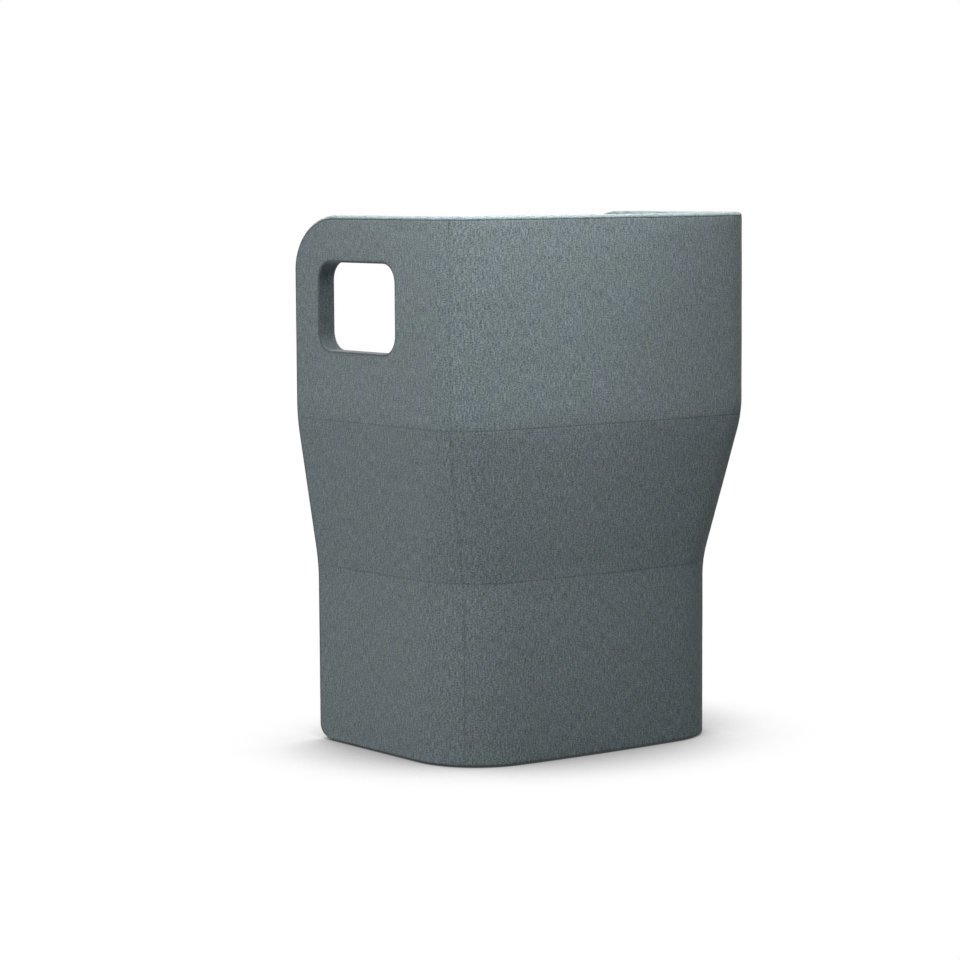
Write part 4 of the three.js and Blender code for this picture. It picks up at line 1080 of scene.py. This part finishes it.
class CHAIR_OT_window_linings(bpy.types.Operator):
    """Cloth lining sewn round the inside of each window"""

    bl_idname = "chair.window_linings"
    bl_label = "Window linings"

    def execute(self, context):
        corner = wall().window_edge
        line = edge_line(corner, corner, 0.8 * MM)
        section, fields = cloth_section(line, corner)
        # Painted shade: the whole lining, which lies deep in the window, is darkened at least this
        # much
        fields[PAINTED_SHADE_FIELD] = np.maximum(fields[PAINTED_SHADE_FIELD], 0.8)
        face_x = plan_at(wall().overall_height).half_width
        outline = resampled(np.concatenate([window_loop(0), window_loop(0)[:1]]), 6 * MM)[:-1]
        tangent = np.roll(outline, -1, axis=0) - np.roll(outline, 1, axis=0)
        out = np.stack([tangent[:, 1], -tangent[:, 0]], -1)
        out /= np.linalg.norm(out, axis=1, keepdims=True)
        places = outline[:, None, :] + section[None, :, 1:] * out[:, None, :]
        x = np.broadcast_to(face_x - section[:, 0], places.shape[:2])
        stations = np.concatenate([x[..., None], places], -1)
        run = np.arange(len(outline)) * 6 * MM
        for side_name, mirror in SIDES:
            name = f"window_lining_cloth_{side_name}"
            shift = (13.0 + mirror, 0.5)
            piece = swept(name, stations, run, shift, fields, closed=True, mirror=mirror)
            size = [float(run_of(line)[-1]), float(run[-1])]
            node = f"window_lining_{side_name}"
            dress_sheet(piece, [node], size)
        return {"FINISHED"}


def inside_line(z, depth, front, count):
    """The line round the inside of the wall at a height, from a front line on the right to the
    left."""
    plan = plan_at(z)
    turn_length = float(plan.radius * plan.turn)
    wing = wing_point(np.linspace(-wall().base_depth, 0, 60), z, depth)
    corner = wing_point(np.linspace(0, turn_length, 60)[1:-1], z, depth)
    back = back_point(np.linspace(float(plan.half_back), 1e-9, 40), z, depth)
    right = np.concatenate([wing, corner, back])
    start = [np.interp(front, right[:, 1], right[:, 0]), front, z]
    right = np.concatenate([[start], right[right[:, 1] > front]])
    return evenly(both_sides(right), count)


def seat_ring(z, inset):
    """Outline of the seat cushion at a height: the wall's inside with a rounded front."""
    k = cushions()
    radius = k.seat_corner
    front = plan_at(0.0).front + k.front_setback - k.seat_overhang + inset
    line = inside_line(z, wall().thickness + k.clearance + inset, front + radius, 160)
    reach = line[0, 0]
    angle = np.linspace(0, math.pi / 2, 8)[1:]
    x = reach - radius + radius * np.cos(angle)
    y = front + radius - radius * np.sin(angle)
    right = np.stack([x, y, 0 * x + z], -1)
    across = np.linspace(-1, 1, 80)[1:-1]
    straight = np.stack([across * x[-1], 0 * across + front, 0 * across + z], -1)
    return np.concatenate([line, right * [-1, 1, 1], straight, right[::-1]])


def seat_rings():
    k = cushions()
    arc_start = k.seat_edge - k.seat_edge_radius
    rings = []
    for share in np.linspace(0, 1, 12):
        z = k.seat_bottom + k.shrink * (1 - share) + (arc_start - k.seat_bottom) * share
        inset = k.shrink + k.seat_side_bulge * (1 - math.sin(math.pi * share))
        rings.append(seat_ring(z, inset))
    for angle in np.linspace(0, math.pi / 2, 9)[1:]:
        reach = k.seat_edge_radius - k.shrink
        inset = k.seat_side_bulge + k.seat_edge_radius - reach * math.cos(angle)
        rings.append(seat_ring(arc_start + reach * math.sin(angle), inset))
    rim = rings[-1]
    middle = rim.mean(axis=0)
    for share in np.linspace(1, 0.04, 24)[1:]:
        ring = middle + (rim - middle) * share
        ring[:, 2] = rim[0, 2] + k.seat_crown * (1 - share**2)
        rings.append(ring)
    return rings


def back_ring(z, front_inset, rear_inset):
    """Outline of the back cushion at a height: the wall's inside with a crowned front."""
    w, k = wall(), cushions()
    plan = plan_at(z)
    chord = float(plan.centre) + w.back_curve - w.thickness - k.clearance - k.back_thickness
    chord += front_inset
    line = inside_line(z, w.thickness + k.clearance + rear_inset, chord, 130)
    across = np.linspace(-1, 1, 110)[1:-1]
    bulge = k.back_crown * (1 - across**2)
    front = np.stack([across * line[0, 0], chord - bulge, 0 * across + z], -1)
    return np.concatenate([line, front])


def back_rings():
    k = cushions()
    radius, rear = k.back_radius - k.shrink, 0.4 * k.back_radius
    low, high = k.back_bottom + k.back_radius, k.back_top - k.back_radius
    rings = []
    quarter = np.linspace(0, math.pi / 2, 10)
    for angle in quarter:
        front_inset = k.back_radius - radius * math.sin(angle)
        rear_inset = k.shrink + rear * (1 - math.sin(angle))
        rings.append(back_ring(low - radius * math.cos(angle), front_inset, rear_inset))
    for z in np.linspace(low, high, 34)[1:-1]:
        rings.append(back_ring(z, k.shrink, k.shrink))
    for angle in quarter:
        front_inset = k.back_radius - radius * math.cos(angle)
        rear_inset = k.shrink + rear * (1 - math.cos(angle))
        rings.append(back_ring(high + radius * math.sin(angle), front_inset, rear_inset))
    return rings


def stacked(name, rings):
    """A closed form from rings of the same number of points."""
    count = len(rings[0])
    faces = [list(range(count))[::-1], [(len(rings) - 1) * count + k for k in range(count)]]
    for level in range(len(rings) - 1):
        for corner in range(count):
            here, beside = level * count + corner, level * count + (corner + 1) % count
            faces.append([here, beside, beside + count, here + count])
    return closed_mesh(name, np.concatenate(rings), faces)


def settle(piece):
    """Makes what the modifiers show the piece's own mesh."""
    shown = piece.evaluated_get(bpy.context.evaluated_depsgraph_get())
    mesh = bpy.data.meshes.new_from_object(shown)
    piece.modifiers.clear()
    piece.data = mesh


def read_points(mesh):
    return read(mesh.vertices, "co", 3).astype(float)


def read_normals(mesh):
    return read(mesh.vertex_normals, "vector", 3).astype(float)


def write_points(mesh, points):
    mesh.vertices.foreach_set("co", np.asarray(points, np.float32).ravel())
    mesh.update()


def held_inside(points, depth):
    """Points that have gone past the wall's inner face, moved back to it."""
    w, plan = wall(), plan_at(points[:, 2])
    x, y = np.abs(points[:, 0]), points[:, 1]
    angle = np.arctan2(y - plan.corner_y, x - plan.corner_x)
    wing, corner = angle <= 0, (angle > 0) & (angle < plan.turn)
    centre_x = np.where(corner, plan.corner_x, 0)
    centre_y = np.where(corner, plan.corner_y, plan.centre)
    away = np.stack([x - centre_x, y - centre_y], -1)
    far = np.linalg.norm(away, axis=1)
    away = np.where(wing[:, None], [1, 0], away / np.maximum(far, 1e-9)[:, None])
    reach = np.where(corner, plan.radius, w.back_curve)
    gone = np.where(wing, plan.half_width - x, reach - far)
    excess = np.clip(depth - gone, 0, None)[:, None]
    moved = points.copy()
    moved[:, :2] -= excess * away * np.stack([np.sign(points[:, 0]), 0 * x + 1], -1)
    return moved


def blow(piece, most, low, high):
    """Swells a closed form as stuffing swells its sewn cover: even faces, then pressure in a cloth
    simulation, with a limit on how far each point moves, so that the cushion stays in its place."""
    c, scene = cloth(), bpy.context.scene
    even = piece.modifiers.new("even_faces", "REMESH")
    even.mode = "VOXEL"
    even.voxel_size = c.cushion_voxel
    settle(piece)
    start = read_points(piece.data)
    stuffing = piece.modifiers.new("stuffing", "CLOTH")
    stuffing.settings.use_pressure = True
    stuffing.settings.uniform_pressure_force = STUFFING_PRESSURE
    stuffing.settings.effector_weights.gravity = 0
    for step in range(1, c.blow_frames + 1):
        scene.frame_set(step)
    settle(piece)
    scene.frame_set(1)
    move = read_points(piece.data) - start
    size = np.linalg.norm(move, axis=1, keepdims=True)
    start = start + move * np.minimum(1, most / np.maximum(size, 1e-9))
    points = held_inside(start, wall().thickness + 0.5 * cushions().clearance)
    points[:, 2] = np.clip(points[:, 2], low, high)
    write_points(piece.data, points)
    finer = piece.modifiers.new("finer_faces", "SUBSURF")
    finer.levels = finer.render_levels = 1
    settle(piece)


def sew(piece, near, shift):
    """Rolls a cushion's cover down into its seams and maps the cloth on each of its sides."""
    mesh = piece.data
    points, normals = read_points(mesh), read_normals(mesh)
    down = CUSHION_SEAM_DEPTH * seam_roll(near) - swell_of(points, near)
    sunk = points - down[:, None] * normals
    write_points(mesh, held_inside(sunk, wall().thickness + CUSHION_GAP))
    # Painted shade beside the cushion's seam
    set_field(mesh, PAINTED_SHADE_FIELD, CUSHION_SEAM_SHADE * near_field(near))
    side = np.argmax(np.abs(read(mesh.polygons, "normal", 3)) * [1, 1, 1.1], axis=1)
    sizes = read(mesh.polygons, "loop_total", 1, np.int32)
    corners = read(mesh.loops, "vertex_index", 1, np.int32)
    axes = np.array([[1, 2], [0, 2], [0, 1]])[np.repeat(side, sizes)]
    map_cloth(mesh, np.take_along_axis(points[corners], axes, axis=1) + np.array(shift))
    shade_smooth(mesh)


class CHAIR_OT_seat_cushion(bpy.types.Operator):
    """Seat cushion: foam in a sewn cover with a top panel and a border"""

    bl_idname = "chair.seat_cushion"
    bl_label = "Seat cushion"

    def execute(self, context):
        k = cushions()
        piece = stacked("seat_cushion", seat_rings())
        blow(piece, cloth().cushion_swell, k.seat_bottom, k.seat_edge + k.seat_crown + 3 * MM)
        points, normals = read_points(piece.data), read_normals(piece.data)
        upright = np.maximum(np.linalg.norm(normals[:, :2], axis=1), 0.2)
        near = np.abs(points[:, 2] - k.seat_edge + 0.55 * k.seat_edge_radius) / upright
        sew(piece, near, (17.0, 0.4))
        dress(piece, "wool_fabric", ["seat_cover", "seat_foam"])
        return {"FINISHED"}


class CHAIR_OT_back_cushion(bpy.types.Operator):
    """Back cushion: softer stuffing in a sewn cover, with a seam along its top and bottom edges"""

    bl_idname = "chair.back_cushion"
    bl_label = "Back cushion"

    def execute(self, context):
        w, k = wall(), cushions()
        piece = stacked("back_cushion", back_rings())
        blow(piece, cloth().cushion_swell, k.back_bottom, k.back_top + 2 * MM)
        points, normals = read_points(piece.data), read_normals(piece.data)
        plan = plan_at(np.clip(points[:, 2], k.back_bottom, k.back_top))
        rear = plan.centre + w.back_curve - w.thickness
        seam_y = rear - k.back_thickness + 0.8 * k.back_radius
        level = np.maximum(np.linalg.norm(normals[:, [0, 2]], axis=1), 0.2)
        near = np.abs(points[:, 1] - seam_y) / level
        sew(piece, near, (19.0, 0.1))
        dress(piece, "wool_fabric", ["back_cushion_cover", "back_cushion_foam"])
        return {"FINISHED"}


class CHAIR_OT_front_panel(bpy.types.Operator):
    """Covered panel under the front of the seat, with its foam"""

    bl_idname = "chair.front_panel"
    bl_label = "Front panel"

    def execute(self, context):
        w, k = wall(), cushions()
        face_y = float(plan_at(0.0).front) + k.front_setback
        reach = w.base_width / 2 - w.thickness - FRONT_GAP
        fold_start = k.panel_top - k.panel_fold
        turn_length = math.pi / 2 * k.panel_fold

        def place(across, run, depth):
            past = np.clip(run - fold_start, 0, None)
            angle = np.minimum(past, turn_length) / k.panel_fold
            back = np.clip(past - turn_length, 0, None)
            y = face_y + k.panel_fold - (k.panel_fold - depth) * np.cos(angle) + back
            z = np.minimum(run, fold_start) + (k.panel_fold - depth) * np.sin(angle)
            return np.stack([across, y, z], -1)

        def rectangle(side, top, step):
            low = w.hem_height
            corners = [(-side, low), (side, low), (side, top), (-side, top), (-side, low)]
            return resampled(np.array(corners), step)[:-1]

        top = fold_start + turn_length + k.panel_return
        outline = rectangle(reach, top, 0.5 * k.panel_fold)
        pattern = cut(outline)
        piece = shell("front_panel_cloth", pattern, place, 0.0, 1, (21.0, 0.1))
        dress_panel(piece, ["front_cover"], pattern)
        step = cloth().foam_step
        outline = rectangle(reach - FRONT_FOAM_INSET, fold_start - FRONT_FOAM_INSET, step)
        coarse = cut(outline, (), (), step)
        layout = (w.foam_depth, 1, (0, 0), False, FRONT_FOAM)
        padding = shell("front_padding", coarse, place, *layout)
        dress(padding, "upholstery_foam", ["front_foam"])
        return {"FINISHED"}


class CHAIR_OT_stage(bpy.types.Operator):
    """Plain floor, soft light and the camera at the photograph's angle"""

    bl_idname = "chair.stage"
    bl_label = "Stage"

    def execute(self, context):
        make_camera()
        make_floor()
        make_lights()
        return {"FINISHED"}


def make_camera():
    azimuth, pitch, roll = (math.radians(turn) for turn in CAMERA_ANGLES)
    across, aside = math.sin(azimuth), math.cos(azimuth)
    back = Vector((across * math.cos(pitch), -aside * math.cos(pitch), math.sin(pitch)))
    level = Vector((aside, across, 0))
    above = back.cross(level)
    right = math.cos(roll) * level + math.sin(roll) * above
    up = -math.sin(roll) * level + math.cos(roll) * above
    data = bpy.data.cameras.new("photo_camera")
    data.sensor_width = 36.0
    data.lens = CAMERA_LENS
    data.clip_end = 100.0
    camera = bpy.data.objects.new("photo_camera", data)
    turned = Matrix((right, up, back)).transposed().to_4x4()
    camera.matrix_world = Matrix.Translation(CAMERA_PLACE) @ turned
    bpy.context.scene.collection.objects.link(camera)
    bpy.context.scene.camera = camera


def shows_white(tree):
    """1 for rays that see the stage as the background, and 0 for those that light the chair."""
    rays = add(tree, "LightPath").node.outputs
    pair = {0: rays["Is Camera Ray"], 1: rays["Is Glossy Ray"]}
    seen = add(tree, "Math", pair, operation="MAXIMUM")
    return add(tree, "Math", {0: seen, 1: rays["Is Transmission Ray"]}, operation="MAXIMUM")


def make_floor():
    """A painted studio floor: matt for the light that it bounces, and white emission where it is
    seen, darkened by ambient occlusion into a painted shadow round the foot."""
    material, tree = new_material("studio_floor_painted")
    paint = {"Base Color": rgba(colours().floor), "Roughness": 0.9, "Specular IOR Level": 0.1}
    matt = add(tree, "BsdfPrincipled", paint)
    # Painted shadow: ambient occlusion darkens the white, as even light from all round would leave
    # a shadow only where the wall stands close
    hidden = add(tree, "AmbientOcclusion", {"Distance": 0.55}, out="AO", samples=16)
    under = add(tree, "MapRange", {0: hidden, 1: 0.10, 2: 0.46, 3: 0.05, 4: 0.32})
    beside = add(tree, "MapRange", {0: hidden, 1: 0.46, 2: 0.84, 3: 0.0, 4: 0.68})
    shade = add(tree, "Math", {0: under, 1: beside}, operation="ADD")
    white = add(tree, "Emission", {"Color": WHITE, "Strength": shade})
    both = add(tree, "MixShader", {0: shows_white(tree), 1: matt, 2: white})
    add(tree, "OutputMaterial", {"Surface": both})
    mesh = bpy.data.meshes.new("studio_floor")
    r = FLOOR_REACH
    mesh.from_pydata([(-r, -r, 0), (r, -r, 0), (r, r, 0), (-r, r, 0)], [], [[0, 1, 2, 3]])
    mesh.materials.append(material)
    floor = bpy.data.objects.new("studio_floor", mesh)
    bpy.context.scene.collection.objects.link(floor)


def area_light(name, place, target, side, power, spread):
    data = bpy.data.lights.new(name, "AREA")
    data.shape = "SQUARE"
    data.size = side
    data.energy = power
    data.spread = math.radians(spread)
    light = bpy.data.objects.new(name, data)
    light.location = place
    aim = Vector(target) - Vector(place)
    light.rotation_mode = "QUATERNION"
    light.rotation_quaternion = aim.to_track_quat("-Z", "Y")
    light.visible_camera = False
    bpy.context.scene.collection.objects.link(light)


def make_lights():
    world = bpy.data.worlds.new("studio")
    world.use_nodes = True
    tree = world.node_tree
    tree.nodes.clear()
    strength = add(tree, "MapRange", {0: shows_white(tree), 1: 0.0, 2: 1.0, 3: WORLD_DIM, 4: 1.0})
    back = add(tree, "Background", {"Color": WHITE, "Strength": strength})
    add(tree, "OutputWorld", {"Surface": back})
    bpy.context.scene.world = world
    for light in LIGHTS:
        area_light(*light)
    bpy.context.scene.view_settings.view_transform = "Standard"


class CHAIR_OT_frame_finishes(bpy.types.Operator):
    """Finishes of the boards, rails, webbing, dust cover and glides inside and under the chair"""

    bl_idname = "chair.frame_finishes"
    bl_label = "Frame finishes"

    def execute(self, context):
        for subpart in frame["record"]["subparts"]:
            piece = frame["nodes"][subpart["node"]]
            if not piece.hide_render:
                piece.data.materials.clear()
                piece.data.materials.append(finish_for(subpart["material_slot"]))
        return {"FINISHED"}


class CHAIR_PT_panel(bpy.types.Panel):
    """Sizes, colours and pieces of the lounge chair"""

    bl_idname = "CHAIR_PT_panel"
    bl_label = "Lounge Chair"
    bl_space_type = "VIEW_3D"
    bl_region_type = "UI"
    bl_category = "Lounge Chair"

    def draw(self, context):
        scene = context.scene
        for group in (getattr(scene, name) for name in GROUPS):
            box = self.layout.box()
            for name in group.bl_rna.properties.keys():
                if name not in {"rna_type", "name"}:
                    box.prop(group, name)
        for operator in PIECE_OPERATORS:
            self.layout.operator(operator.bl_idname)


PIECE_OPERATORS = (
    CHAIR_OT_stage,
    CHAIR_OT_wall_padding,
    CHAIR_OT_outer_cover,
    CHAIR_OT_inner_cover,
    CHAIR_OT_edge_strip,
    CHAIR_OT_hem_strip,
    CHAIR_OT_window_linings,
    CHAIR_OT_front_panel,
    CHAIR_OT_seat_cushion,
    CHAIR_OT_back_cushion,
    CHAIR_OT_frame_finishes,
)
GROUPS = {
    "chair_wall": WallSizes,
    "chair_cushions": CushionSizes,
    "chair_cloth": ClothSizes,
    "chair_colours": ChairColours,
}


def register():
    for group in GROUPS.values():
        bpy.utils.register_class(group)
    for name, group in GROUPS.items():
        setattr(bpy.types.Scene, name, PointerProperty(type=group))
    for kind in (*PIECE_OPERATORS, CHAIR_PT_panel):
        bpy.utils.register_class(kind)


def unregister():
    for kind in reversed((*PIECE_OPERATORS, CHAIR_PT_panel)):
        bpy.utils.unregister_class(kind)
    for name, group in GROUPS.items():
        delattr(bpy.types.Scene, name)
        bpy.utils.unregister_class(group)


def main():
    register()
    bpy.ops.chair.stage()
    bpy.ops.chair.wall_padding()
    bpy.ops.chair.outer_cover()
    bpy.ops.chair.inner_cover()
    bpy.ops.chair.edge_strip()
    bpy.ops.chair.hem_strip()
    bpy.ops.chair.window_linings()
    bpy.ops.chair.front_panel()
    bpy.ops.chair.seat_cushion()
    bpy.ops.chair.back_cushion()
    bpy.ops.chair.frame_finishes()


if __name__ == "__main__":
    main()
